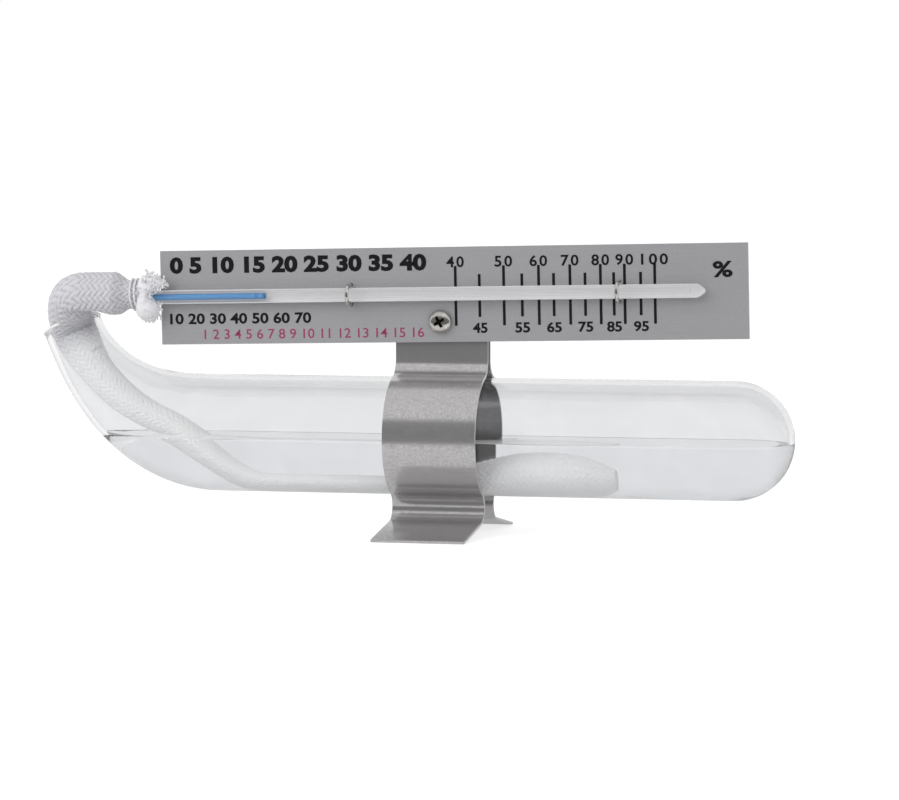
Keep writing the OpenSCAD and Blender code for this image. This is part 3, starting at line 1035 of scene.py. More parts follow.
@dataclass(frozen=True)
class Cotton:
    """Cotton yarn: fibres and soft sheen, with painted shade between the yarns, painted light that makes it
    paler where it is soaked, and a faint painted glow.
    """

    name: str
    crown: Three = (0.57, 0.57, 0.60)
    # Painted shade: the tone between the yarns.
    gap: Three = (0.31, 0.31, 0.33)
    woven: bool = True
    # Strength of the painted glow: emission, though cotton is no lamp.
    glow: float = 0.0
    soaking: tuple[float, float] = (25.5, 33.0)
    # Painted light: paler tones for the soaked cotton, which also colour its glow.
    wet_crown: Three = (0.77, 0.77, 0.77)
    wet_gap: Three = (0.67, 0.67, 0.67)
    fibre_dark: float = 0.86
    # Weave heights over which the painted shade between the yarns gives way to the crown's tone.
    relief: tuple[float, float] = (0.25, 0.8)

    def build(self) -> bpy.types.Material:
        """Makes the material.

        Returns:
            The finish.
        """
        s = Shade(self.name)
        fibre = s.grain(0.14, 2.4, (2.0, 1.0, 1.3))

        def yarn(tone: Three) -> NodeSocket:
            """The tone of a yarn, from the dark of its fibres to their crowns."""
            return s.between(fibre["Value"], tuple(self.fibre_dark * c for c in tone), tone)

        # Without a weave, the painted glow takes the yarn's own tone all over.
        face = lit = yarn(self.crown)
        if self.woven:
            given = (s.node("ShaderNodeAttribute", attribute_name=name) for name in ("weave", "run"))
            weave, run = (node.outputs["Fac"] for node in given)
            # lift is 0 in the weave's hollows, which get painted shade, and 1 on the crowns.
            lift = s.mapped(weave, From_Min=self.relief[0], From_Max=self.relief[1])
            soaked = s.mapped(run, smooth=True, From_Min=self.soaking[0], From_Max=self.soaking[1])
            # Soaked yarn takes paler tones: painted light.
            soaked_painted_light = yarn(self.wet_crown)
            face = s.between(lift, s.between(soaked, self.gap, self.wet_gap), s.between(soaked, face, soaked_painted_light))
            # The painted glow's colour: the soaked tone where it is soaked, none where it is dry.
            lit = s.between(soaked, (0.0, 0.0, 0.0), soaked_painted_light)
        s.feed("Base Color", face)
        s.feed("Emission Color", lit)
        s.feed("Roughness", s.between(s.smudge(4.0, 0.45), 0.95, 0.82))
        s.plain(Sheen_Weight=0.12, Sheen_Roughness=0.5, Emission_Strength=self.glow)
        s.bump(fibre["Height"], 0.5, 0.09)
        return s.mat


@dataclass(frozen=True)
class Finishes:
    """All the finishes, built once."""

    steel: bpy.types.Material
    nickel: bpy.types.Material
    recess: bpy.types.Material
    plate: bpy.types.Material
    black: bpy.types.Material
    magenta: bpy.types.Material
    stem: bpy.types.Material
    bore: bpy.types.Material
    enamel: bpy.types.Material
    spirit: bpy.types.Material
    glass: bpy.types.Material
    lip: bpy.types.Material
    water: bpy.types.Material
    wick: bpy.types.Material
    tuft: bpy.types.Material

    @classmethod
    def build(cls) -> "Finishes":
        """Makes every material.

        Returns:
            The finishes.
        """
        # Painted shade: a near-black nickel for the inside of the cross recess.
        recess_shade = {"bright": (0.06, 0.056, 0.052), "dull": (0.02, 0.019, 0.018), "smooth": 0.5, "rough": 0.7}
        drawn = {"tint": (0.98, 0.98, 0.98), "film": (0.96, 0.96, 0.965), "wave": 0.01, "wave_size": 5.0}
        inner = {"tint": (0.99, 0.99, 0.99), "film": (0.98, 0.98, 0.98), "wave": 0.0, "wave_size": 5.0}
        fired = {"tint": (0.84, 0.84, 0.845), "film": (0.80, 0.80, 0.805), "wave": 0.0, "wave_size": 2.0}
        return cls(
            steel=BrushedSteel().build(),
            nickel=NickelPlate().build(),
            recess=NickelPlate("painted_shade_recess", **recess_shade).build(),
            plate=SatinPlate().build(),
            black=Ink("black_ink", (0.004, 0.004, 0.005), (0.012, 0.012, 0.014)).build(),
            magenta=Ink("magenta_ink", (0.24, 0.026, 0.088), (0.32, 0.060, 0.140)).build(),
            stem=BlownGlass("stem_glass", index=1.3, **drawn).build(),
            bore=BlownGlass("bore_face", index=1.03, **inner).build(),
            enamel=Enamel().build(),
            spirit=BlueSpirit().build(),
            # The reservoir's glass gets the darkest painted shade at its edges.
            glass=BlownGlass("blown_glass", index=1.32, edge=0.8).build(),
            lip=BlownGlass("fired_lip", index=1.3, clear=0.3, **fired).build(),
            water=StillWater().build(),
            # Both cottons glow faintly: painted light.
            wick=Cotton("wick_cotton", glow=0.17).build(),
            tuft=Cotton("loose_cotton", (0.66, 0.66, 0.68), woven=False, glow=0.16).build(),
        )


@dataclass(frozen=True)
class Row:
    """A row of figures: its text, ends, bottom and top, how bold it is and how it is spaced."""

    text: str
    span: tuple[float, float]
    rows: tuple[float, float]
    bold: float = 0.03
    gap: float = 1.0


@dataclass
class ScalePlate:
    """The printed scale plate."""

    made: Finishes
    edge: float = 0.09
    ink: float = 0.02
    sunk: float = 0.005
    tens: dict[int, float] = field(
        default_factory=lambda: {40: 3.4, 50: 13.8, 60: 21.3, 70: 28.0, 80: 34.5, 90: 39.6, 100: 46.0}
    )
    fives: dict[int, float] = field(
        default_factory=lambda: {45: 8.55, 55: 17.7, 65: 24.5, 75: 31.2, 85: 37.3, 95: 43.0}
    )
    tick_wide: float = 0.6
    tens_span: tuple[float, float] = (44.04, 56.6)
    fives_span: tuple[float, float] = (45.84, 54.84)
    tens_digits: tuple[float, float] = (56.3, 58.65)
    fives_digits: tuple[float, float] = (42.44, 44.64)
    half_digit: float = 0.95
    half_fives: float = 1.6

    def numbers(self, row: Row) -> tuple[np.ndarray, list]:
        """Points and faces of a row of figures.

        Args:
            row: The row.

        Returns:
            The points in the plate's own frame, and the faces.
        """
        curve = bpy.data.curves.new("figures", "FONT")
        curve.body = row.text
        curve.space_character = row.gap
        curve.offset = row.bold
        curve.extrude = 0.5
        curve.resolution_u = 3
        holder = link(bpy.data.objects.new("figures", curve))
        view = bpy.context.evaluated_depsgraph_get()
        view.update()
        mesh = bpy.data.meshes.new_from_object(holder.evaluated_get(view))
        co = np.array([v.co for v in mesh.vertices], float)
        faces = [tuple(p.vertices) for p in mesh.polygons]
        bpy.data.objects.remove(holder)
        bpy.data.curves.remove(curve)
        bpy.data.meshes.remove(mesh)
        low, high = co.min(0), co.max(0)
        across, up, deep = ((co - low) / (high - low)).T
        depth = mix(DATUM.front + self.sunk, DATUM.front - self.ink, deep)
        return np.stack([mix(*row.span, across), depth, mix(*row.rows, up)], axis=1), faces

    def print_rows(self, name: str, rows: list[Row], mat: bpy.types.Material) -> bpy.types.Object:
        """Makes one thin mesh of several rows of figures.

        Args:
            name: The piece's name.
            rows: The rows.
            mat: The ink.

        Returns:
            The piece.
        """
        points, faces, start = [], [], 0
        for row in rows:
            p, f = self.numbers(row)
            points.append(p)
            faces += [tuple(i + start for i in face) for face in f]
            start += len(p)
        obj = mesh_object(name, DATUM.on_plate(np.vstack(points)), faces, mat)
        obj.data.shade_flat()
        return face_out(obj)

    def ticks(self) -> bpy.types.Object:
        """The scale's lines, one instance for each point.

        Returns:
            The piece.
        """
        tree = GeoTree("scale_lines")
        wide, thick, tilt = tree.size("Width", 1.0), tree.size("Thickness", 1.0), tree.size("Tilt", 0.0)
        cube = tree.node("GeometryNodeMeshCube", {"Size": (1.0, 1.0, 1.0)})
        wires = {"Points": tree.given, "Instance": cube.outputs[0]}
        wires |= {"Scale": tree.vector(wide, thick, tree.attribute("tall")), "Rotation": tree.vector(y=tilt)}
        tree.close(tree.node("GeometryNodeInstanceOnPoints", wires).outputs[0])
        y = DATUM.front - (self.ink - self.sunk) / 2
        spots = [(x, self.tens_span) for x in self.tens.values()]
        spots += [(x, self.fives_span) for x in self.fives.values()]
        points = DATUM.on_plate(np.array([(x, y, sum(span) / 2) for x, span in spots]))
        obj = mesh_object("scale_ticks", points, [])
        store(obj, "tall", [(span[1] - span[0]) * MM for _, span in spots])
        values = {
            "Finish": self.made.black,
            "Width": self.tick_wide * MM,
            "Thickness": (self.ink + self.sunk) * MM,
            "Tilt": -math.radians(DATUM.tilt),
        }
        tree.run(obj, values)
        obj.data.shade_flat()
        return obj

    def build(self) -> None:
        """Makes the plate and its print."""
        sheet = edged_copy("scale_plate", "printed_plate", self.made.plate, self.edge)
        enlist(sheet, Body.PLATE, Slot.PLATE, "scale_plate")
        enlist(self.ticks(), Body.PLATE, Slot.PLATE)
        rows = []
        for n, x in self.tens.items():
            half = self.half_digit * len(str(n))
            rows.append(Row(str(n), (x - half, x + half), self.tens_digits, 0.022, 1.25))
        for n, x in self.fives.items():
            rows.append(Row(str(n), (x - self.half_fives, x + self.half_fives), self.fives_digits))
        rows.append(Row("0 5 10 15 20 25 30 35 40", (-59.3, -2.8), (55.7, 59.3), 0.05))
        rows.append(Row("10 20 30 40 50 60 70", (-59.5, -28.2), (44.9, 47.3)))
        rows.append(Row("%", (58.2, 62.4), (53.5, 56.9)))
        enlist(self.print_rows("scale_figures", rows, self.made.black), Body.PLATE, Slot.PLATE)
        note = Row("1 2 3 4 5 6 7 8 9 10 11 12 13 14 15 16", (-51.9, -3.6), (41.7, 43.8), 0.008)
        enlist(self.print_rows("note_figures", [note], self.made.magenta), Body.PLATE, Slot.PLATE)


@dataclass
class Thermometer:
    """The glass stem with its bulb, the spirit and the wire clips."""

    made: Finishes
    sides: int = 72
    bulb: tuple[float, float] = (-77.5, -69.0)
    bulb_r: float = 2.5
    stem_r: float = 1.5
    stem_start: float = -67.2
    stem_even: float = -66.0
    stem_end: float = 56.9
    tip_len: float = 1.8
    tip_drawn: float = 0.78
    bore_r: float = 0.5
    bore_end: float = 53.9
    wall: float = 0.5
    band_half: float = 112.0
    band_steps: int = 40
    band_r: tuple[float, float] = (1.22, 1.43)
    band_start: float = -64.5
    band_drawn: float = 0.86
    spirit_gap: float = 0.006
    spirit_start: float = -66.7
    spirit_fixed: float = -60.0
    spirit_end: float = -37.6
    tip_piece: float = 2.0
    dish: float = 0.2
    wire_edge: float = 0.05

    def rings(self, line: list, turns: np.ndarray) -> list[np.ndarray]:
        """Rings about the stem's axis.

        Args:
            line: Rows of x and radius, or of x and the radii round the ring.
            turns: Angles of the ring's points.

        Returns:
            The rings in the plate's own frame.
        """
        made = []
        for x, r in line:
            y, z = DATUM.stem_y + r * np.cos(turns), DATUM.stem_z + r * np.sin(turns)
            made.append(np.stack([np.full(len(turns), x), y, z], axis=1))
        return made

    def turned(
        self, name: str, line: list, mat: bpy.types.Material, cavity: bool = False
    ) -> bpy.types.Object:
        """Turns a half section about the stem's axis.

        Args:
            name: The piece's name.
            line: Rows of x and radius, from end to end.
            mat: The finish.
            cavity: Whether it is a hollow in the glass.

        Returns:
            The piece.
        """
        points, faces = skin(self.rings(line, np.linspace(0, 2 * math.pi, self.sides, endpoint=False)))
        return face_out(mesh_object(name, DATUM.on_plate(points), faces, mat), cavity)

    def bulb_line(self, pared: float, neck_r: float) -> list[tuple[float, float]]:
        """Half section of the bulb and its shoulder.

        Args:
            pared: How far inside the glass surface it runs.
            neck_r: Radius where the shoulder ends.

        Returns:
            Rows of x and radius.
        """
        r = self.bulb_r - pared
        start, end = self.bulb[0] + pared, self.bulb[1]
        rows = [(start + r * (1 - math.cos(b)), r * math.sin(b)) for b in np.linspace(0.04, math.pi / 2, 14)]
        rows += [(mix(start + r, end, t), r) for t in (0.3, 0.7, 1.0)]
        falls = np.linspace(0.1, 1, 10)
        return rows + [(mix(end, self.stem_start, t), mix(r, neck_r, ease(t))) for t in falls]

    def glass(self) -> bpy.types.Object:
        """The bulb, stem and point in one piece of glass, bored.

        Returns:
            The piece.
        """
        tip = self.stem_end - self.tip_len
        outer = self.bulb_line(0, self.stem_r)
        outer += [(x, self.stem_r) for x in np.linspace(self.stem_even, tip - 0.3, 40)]
        for t in np.linspace(0, 0.9, 9):
            outer.append((mix(tip, self.stem_end, t), self.stem_r * (1 - self.tip_drawn * t**1.5)))
        outer += [(self.stem_end - 0.05, 0.32), (self.stem_end, 0.12)]
        inner = self.bulb_line(self.wall, self.bore_r)
        inner += [(x, self.bore_r) for x in np.linspace(self.stem_even, self.bore_end - 0.5, 20)]
        inner += [(self.bore_end - 0.2, 0.4), (self.bore_end, 0.15)]
        body = self.turned("stem_outer", outer, self.made.stem)
        bore = self.turned("stem_bore", inner, self.made.bore, True)
        glass = join("glass_stem", [body, bore])
        glass.data.shade_smooth()
        return glass

    def enamel(self) -> bpy.types.Object:
        """The milky band behind the bore, inside the glass.

        Returns:
            The piece.
        """
        n, m = self.band_steps, 2 * self.band_steps
        a = np.radians(np.linspace(-self.band_half, self.band_half, n))
        tip = self.stem_end - self.tip_len
        point = np.linspace(tip, self.stem_end - 0.35, 9)[1:]
        along = np.concatenate([np.linspace(self.band_start, tip - 0.1, 60), point])
        r = np.repeat(self.band_r[::-1], n)
        line = [(x, r * (1 - self.band_drawn * max(0.0, (x - tip) / self.tip_len) ** 1.2)) for x in along]
        points, faces = skin(self.rings(line, np.concatenate([a, a[::-1]])), caps=False)
        for k in (0, (len(line) - 1) * m):
            faces += [(k + j, k + j + 1, k + m - 2 - j, k + m - 1 - j) for j in range(n - 1)]
        obj = face_out(mesh_object("stem_enamel", DATUM.on_plate(points), faces, self.made.enamel))
        obj.data.set_sharp_from_angle(angle=math.radians(40))
        return obj

    def spirit(self) -> None:
        """Makes the spirit in the bulb, its column and the column's end."""
        dye, r = self.made.spirit, self.bore_r - self.spirit_gap
        full = self.bulb_line(self.wall + self.spirit_gap, r) + [(x, r) for x in (-67.0, -66.6)]
        enlist(self.turned("spirit_in_bulb", full, dye), Body.PLATE, Slot.SPIRIT, "spirit_bulb")
        cut = self.spirit_end - self.tip_piece
        column = [(x, r) for x in np.linspace(self.spirit_start, cut + 0.02, 60)]
        thread = self.turned("spirit_column", column, dye)
        ends = DATUM.on_plate(np.array([(x, DATUM.stem_y, DATUM.stem_z) for x in (self.spirit_fixed, cut)]))
        enlist_between(thread, (Body.PLATE, Body.SPIRIT), (ends[0], ends[1]), Slot.SPIRIT, "spirit_thread")
        tip = [(cut, r), (mix(cut, self.spirit_end, 0.5), r), (self.spirit_end, r)]
        tip += [(self.spirit_end - self.dish * (1 - t * t), r * t) for t in np.linspace(0.97, 0.08, 9)]
        enlist(self.turned("spirit_end_face", tip, dye), Body.SPIRIT, Slot.SPIRIT, "spirit_tip")

    def build(self) -> None:
        """Makes the thermometer."""
        enlist(self.glass(), Body.PLATE, Slot.STEM, "thermometer_glass")
        enlist(self.enamel(), Body.PLATE, Slot.STEM)
        self.spirit()
        for side in ("left", "right"):
            loop = edged_copy(f"stem_clip_{side}", f"wire_clip_{side}", self.made.nickel, self.wire_edge)
            enlist(loop, Body.PLATE, Slot.WIRE, f"stem_clip_{side}")


@dataclass
class Stand:
    """The sprung clip, and the screw, washer and nut that hold the plate to it."""

    made: Finishes
    head_r: float = 2.5
    head_h: float = 1.7
    head_gap: float = 0.05
    head_sides: int = 96
    rim_h: float = 0.35
    rim_edge: float = 0.08
    shank_r: float = 1.25
    shank_sides: int = 48
    thread_start: float = 1.7
    thread_deep: float = 0.2
    thread_grows: float = 0.4
    pitch: float = 0.45
    tip_y: float = 5.0
    recess_turn: float = 30.0
    recess_len: float = 2.9
    recess_w: float = 0.7
    recess_deep: float = 1.05
    strip_edge: float = 0.12
    washer_edge: float = 0.06
    nut_edge: float = 0.16

    def rings(self, line: list, turns: np.ndarray) -> list[np.ndarray]:
        """Rings about the screw's axis.

        Args:
            line: Rows of y and radius, or of y and the radii round the ring.
            turns: Angles of the ring's points.

        Returns:
            The rings.
        """
        x, z, n = np.cos(turns), np.sin(turns), len(turns)
        return [np.stack([r * x, np.full(n, y), DATUM.screw_z + r * z], axis=1) for y, r in line]

    def recess_tool(self, turn: float) -> bpy.types.Object:
        """The tapered block that cuts one slot of the cross recess.

        Args:
            turn: Which way the slot runs, in degrees.

        Returns:
            The block.
        """
        b = math.radians(turn)
        out, side = np.array([math.cos(b), 0, math.sin(b)]), np.array([-math.sin(b), 0, math.cos(b)])
        top = DATUM.front - self.head_gap - self.head_h
        corners = ((1, 1), (-1, 1), (-1, -1), (1, -1))
        quads = []
        for depth, share in ((-0.6, 1.12), (self.recess_deep, 0.55)):
            long, wide = self.recess_len / 2 * share, self.recess_w / 2 * (0.6 + 0.4 * share)
            centre = np.array([0, top + depth, DATUM.screw_z])
            quads.append(np.array([centre + i * long * out + j * wide * side for i, j in corners]))
        points, faces = skin(quads)
        return face_out(mesh_object("recess_tool", points, faces, self.made.recess))

    def head(self) -> bpy.types.Object:
        """The domed head with its cross recess.

        Returns:
            The piece.
        """
        under, edge = DATUM.front - self.head_gap, self.rim_edge
        line = [(self.head_r - edge, 0.0), (self.head_r, edge), (self.head_r, self.rim_h - 0.05)]
        for b in np.radians(np.linspace(4, 88, 20)):
            line.append((self.head_r * math.cos(b), self.rim_h + (self.head_h - self.rim_h) * math.sin(b)))
        a = np.linspace(0, 2 * math.pi, self.head_sides, endpoint=False)
        points, faces = skin(self.rings([(under - h, r) for r, h in line], a))
        head = face_out(mesh_object("screw_head", points, faces, self.made.nickel))
        for turn in (0.0, 90.0):
            tool = self.recess_tool(self.recess_turn + turn)
            cut = head.modifiers.new("recess", "BOOLEAN")
            cut.object = tool
            cut.solver = "EXACT"
            # The recess's cut faces take the tool's near-black finish: painted shade.
            cut.material_mode = "TRANSFER"
            settled(head)
            bpy.data.objects.remove(tool)
        soften(head, 0.05, 2, 38)
        settled(head)
        head.data.set_sharp_from_angle(angle=math.radians(50))
        return head

    def shank(self) -> bpy.types.Object:
        """The shank, plain in the plate and threaded past the washer.

        Returns:
            The piece.
        """
        a = np.linspace(0, 2 * math.pi, self.shank_sides, endpoint=False)
        plain = np.linspace(DATUM.front - 0.2, self.thread_start, 6)
        line = []
        for y in np.concatenate([plain, np.arange(self.thread_start + 0.05, self.tip_y, self.pitch / 8)]):
            cut = self.thread_deep * min(1.0, max(0.0, (y - self.thread_start) / self.thread_grows))
            wave = np.abs(((y / self.pitch - a / (2 * math.pi)) % 1.0) * 2 - 1)
            end = min(1.0, (self.tip_y - y) / 0.35 + 0.72)
            line.append((y, (self.shank_r - cut * wave) * end))
        points, faces = skin(self.rings(line, a))
        return face_out(mesh_object("screw_shank", points, faces, self.made.nickel))

    def build(self) -> None:
        """Makes the stand and its fixing."""
        strip = edged_copy("spring_clip", "sprung_strip", self.made.steel, self.strip_edge, 3)
        enlist(strip, Body.CLIP, Slot.STEEL, "spring_clip")
        enlist(join("cross_head_screw", [self.head(), self.shank()]), Body.CLIP, Slot.NICKEL, "fixing_screw")
        washer = edged_copy("fixing_washer", "plain_washer", self.made.nickel, self.washer_edge)
        enlist(washer, Body.CLIP, Slot.NICKEL, "fixing_washer")
        nut = edged_copy("fixing_nut", "hex_nut", self.made.nickel, self.nut_edge)
        enlist(nut, Body.CLIP, Slot.NICKEL, "fixing_nut")


@dataclass
class Reservoir:
    """The bent, drawn-down glass and its water."""

    made: Finishes
    tube_r: float = 12.5
    wall: float = 1.1
    round_end: float = 74.9
    bend_start: float = 49.1
    bend_r: float = 37.0
    neck_angle: float = 67.0
    neck_r: float = 6.3
    lean: float = 7.0
    rim_h: float = 0.7
    rim_out: float = 0.25
    rim_in: float = 0.5
    waves: tuple[Three, ...] = ((0.045, 0.21, 0.0), (0.03, 0.47, 1.0))
    water_drop: float = 0.5
    water_turn: float = 48.0
    soak: float = 0.1
    climb: float = 0.1
    shore: tuple[tuple[float, float], ...] = ((0.2, 0.05), (0.3, 0.03), (0.5, 0.02))
    sides: int = 128

    def leant(self, x: np.ndarray, y: np.ndarray, z: np.ndarray) -> np.ndarray:
        """Leans points of the reservoir's upright plane back about its axis.

        Args:
            x: Places along the axis.
            y: Places across it.
            z: Heights over it.

        Returns:
            Rows of points in the part's frame.
        """
        c, s = math.cos(math.radians(self.lean)), math.sin(math.radians(self.lean))
        x, y, z = np.broadcast_arrays(x, y, z)
        return np.stack([x, y * c + z * s, DATUM.axis_z + z * c - y * s], axis=-1)

    def middle(self, turn: float) -> tuple[float, float]:
        """Middle of the neck, x and height, after it has turned by some degrees."""
        a = math.radians(turn)
        return -self.bend_start - self.bend_r * math.sin(a), self.bend_r * (1 - math.cos(a))

    def radius(self, turn: float) -> float:
        """Outer radius of the neck after it has turned by some degrees."""
        return self.neck_r + (self.tube_r - self.neck_r) * float(1 - ease(turn / self.neck_angle))

    def ring(self, x: float, z: float, turn: float, r: float) -> np.ndarray:
        """One ring of the glass.

        Args:
            x: Its middle along the reservoir.
            z: Its middle's height.
            turn: How far the neck has turned there, in degrees.
            r: Its radius.

        Returns:
            Rows of points.
        """
        t = np.linspace(0, 2 * math.pi, self.sides, endpoint=False)
        a = math.radians(turn)
        return self.leant(x + r * np.sin(t) * math.sin(a), r * np.cos(t), z + r * np.sin(t) * math.cos(a))

    def shell(self, pared: float, last: float) -> list[np.ndarray]:
        """Rings from the round end to a turn of the neck.

        Args:
            pared: How far inside the outer face they run.
            last: The last turn in degrees.

        Returns:
            The rings.
        """
        dome_x, r = self.round_end - self.tube_r, self.tube_r - pared
        dome = np.radians(np.linspace(88.5, 0, 30))
        rings = [self.ring(dome_x + r * math.sin(b), 0, 0, r * math.cos(b)) for b in dome]
        rings += [self.ring(x, 0, 0, r) for x in np.linspace(dome_x, -self.bend_start, 40)[1:-1]]
        for turn in np.linspace(0, last, max(4, int(60 * last / self.neck_angle))):
            x, z = self.middle(turn)
            rings.append(self.ring(x, z, turn, self.radius(turn) - pared))
        return rings

    def rim(self) -> list[np.ndarray]:
        """Rings of the rolled rim, from its outer edge to its inner one.

        Returns:
            The rings.
        """
        x, z = self.middle(self.neck_angle)
        a = math.radians(self.neck_angle)
        mid, half = self.neck_r - self.rim_in, self.rim_in + self.rim_out
        rings = []
        for b in np.radians(np.linspace(12, 168, 12)):
            d, r = self.rim_h * math.sin(b), mid + half * math.cos(b)
            rings.append(self.ring(x - d * math.cos(a), z + d * math.sin(a), self.neck_angle, r))
        return rings

    def glass(self) -> bpy.types.Object:
        """The glass, with its rolled rim and an inner face that is a little uneven.

        Returns:
            The piece.
        """
        outer, rim = self.shell(0, self.neck_angle), self.rim()
        inner = self.shell(self.wall, self.neck_angle)[::-1]
        for i, ring in enumerate(inner):
            k = len(inner) - i
            wave = sum(high * math.sin(pace * k + late) for high, pace, late in self.waves)
            inner[i] = ring + (ring.mean(0) - ring) * wave / self.tube_r
        points, faces = skin(outer + rim + inner)
        obj = mesh_object("blown_reservoir", points, faces, self.made.glass)
        obj.data.materials.append(self.made.lip)
        first, last = (len(outer) - 1) * self.sides, (len(outer) + len(rim)) * self.sides
        for face in obj.data.polygons:
            if first <= min(face.vertices) < last:
                face.material_index = 1
        return face_out(obj)

    def water(self) -> bpy.types.Object:
        """The water up to its level, drawn up a little where it wets the glass.

        Returns:
            The piece.
        """
        points, faces = skin(self.shell(self.wall - self.soak, self.water_turn))
        obj = face_out(mesh_object("reservoir_water", points, faces, self.made.water))
        level = (0, 0, (DATUM.axis_z - self.water_drop) * MM)
        bm = bmesh.new()
        bm.from_mesh(obj.data)
        body = [*bm.verts, *bm.edges, *bm.faces]
        flat = bmesh.ops.bisect_plane(bm, geom=body, plane_co=level, plane_no=(0, 0, 1), clear_outer=True)
        edges = [e for e in flat["geom_cut"] if isinstance(e, bmesh.types.BMEdge)]
        wet_line = {v for e in edges for v in e.verts}
        top = bmesh.ops.contextual_create(bm, geom=edges)["faces"]
        for inset, drop in self.shore:
            bmesh.ops.inset_region(bm, faces=top, thickness=inset * MM, use_even_offset=False)
            for v in {v for f in top for v in f.verts}:
                v.co.z -= drop * MM
        for v in wet_line:
            v.co.z += self.climb * MM
        bmesh.ops.triangulate(bm, faces=top)
        bmesh.ops.recalc_face_normals(bm, faces=bm.faces)
        bm.to_mesh(obj.data)
        bm.free()
        obj.data.shade_smooth()
        return obj

    def build(self) -> None:
        """Makes the reservoir and the water."""
        enlist(self.glass(), Body.RESERVOIR, Slot.GLASS, "reservoir_tube")
        enlist(self.water(), Body.RESERVOIR, Slot.WATER, "water_fill")


def yarn_end_tree() -> GeoTree:
    """Loose ends of yarn or fibre that stand off a surface.

    Returns:
        The tree: Density, Length, Radius, Curl, Spread, Least and Seed in. It reads fray.
    """
    tree = GeoTree("yarn_ends")
    density, length, radius = tree.size("Density", 1.0), tree.size("Length", 1.0), tree.size("Radius", 0.1)
    curl, spread, least = tree.size("Curl", 0.3), tree.size("Spread", 0.5), tree.size("Least", 0.5)
    seed = tree.size("Seed", 1)

    def beside(x: object, share: float) -> NodeSocket:
        """A point beside the yarn's foot, at a share of its length."""
        return tree.vector(x, 0.0, tree.math("MULTIPLY", length, share))

    often = tree.math("MULTIPLY", density, tree.attribute("fray"))
    wires = {"Mesh": tree.given, "Density": often, "Seed": seed}
    spots = tree.node("GeometryNodeDistributePointsOnFaces", wires)
    bent = tree.math("MULTIPLY", length, curl)
    wires = {"Resolution": 5, "Start": beside(0.0, -0.15), "Start Handle": beside(0.0, 0.35)}
    wires |= {"End Handle": beside(tree.math("MULTIPLY", bent, 0.3), 0.75), "End": beside(bent, 1.0)}
    line = tree.node("GeometryNodeCurvePrimitiveBezierSegment", wires)
    along = tree.node("GeometryNodeSplineParameter").outputs["Factor"]
    thin = tree.math("SUBTRACT", 1.0, tree.math("MULTIPLY", tree.math("POWER", along, 2.0), 0.85))
    tapered = tree.node("GeometryNodeSetCurveRadius", {"Curve": line.outputs[0], "Radius": thin})
    yarn = tree.sweep(tapered.outputs[0], 6, radius)
    tip = tree.node("FunctionNodeRandomValue", {"Seed": seed}, data_type="FLOAT_VECTOR")
    for socket, sign in ((tip.inputs["Min"], -1.0), (tip.inputs["Max"], 1.0)):
        lean = tree.math("MULTIPLY", spread, sign)
        tree.tree.links.new(tree.vector(lean, lean, 3.1 * sign), socket)
    wires = {"Rotation": spots.outputs["Rotation"], "Rotate By": tip.outputs["Value"]}
    turn = tree.node("FunctionNodeRotateRotation", wires, rotation_space="LOCAL")
    size = tree.node("FunctionNodeRandomValue", {"Seed": seed}, data_type="FLOAT")
    low, high = (s for s in size.inputs if s.name in ("Min", "Max") and s.type == "VALUE")
    tree.tree.links.new(least, low)
    high.default_value = 1.0
    scale = next(s for s in size.outputs if s.type == "VALUE")
    wires = {"Points": spots.outputs["Points"], "Instance": yarn, "Rotation": turn.outputs[0], "Scale": scale}
    tree.close(tree.node("GeometryNodeInstanceOnPoints", wires).outputs[0])
    return tree


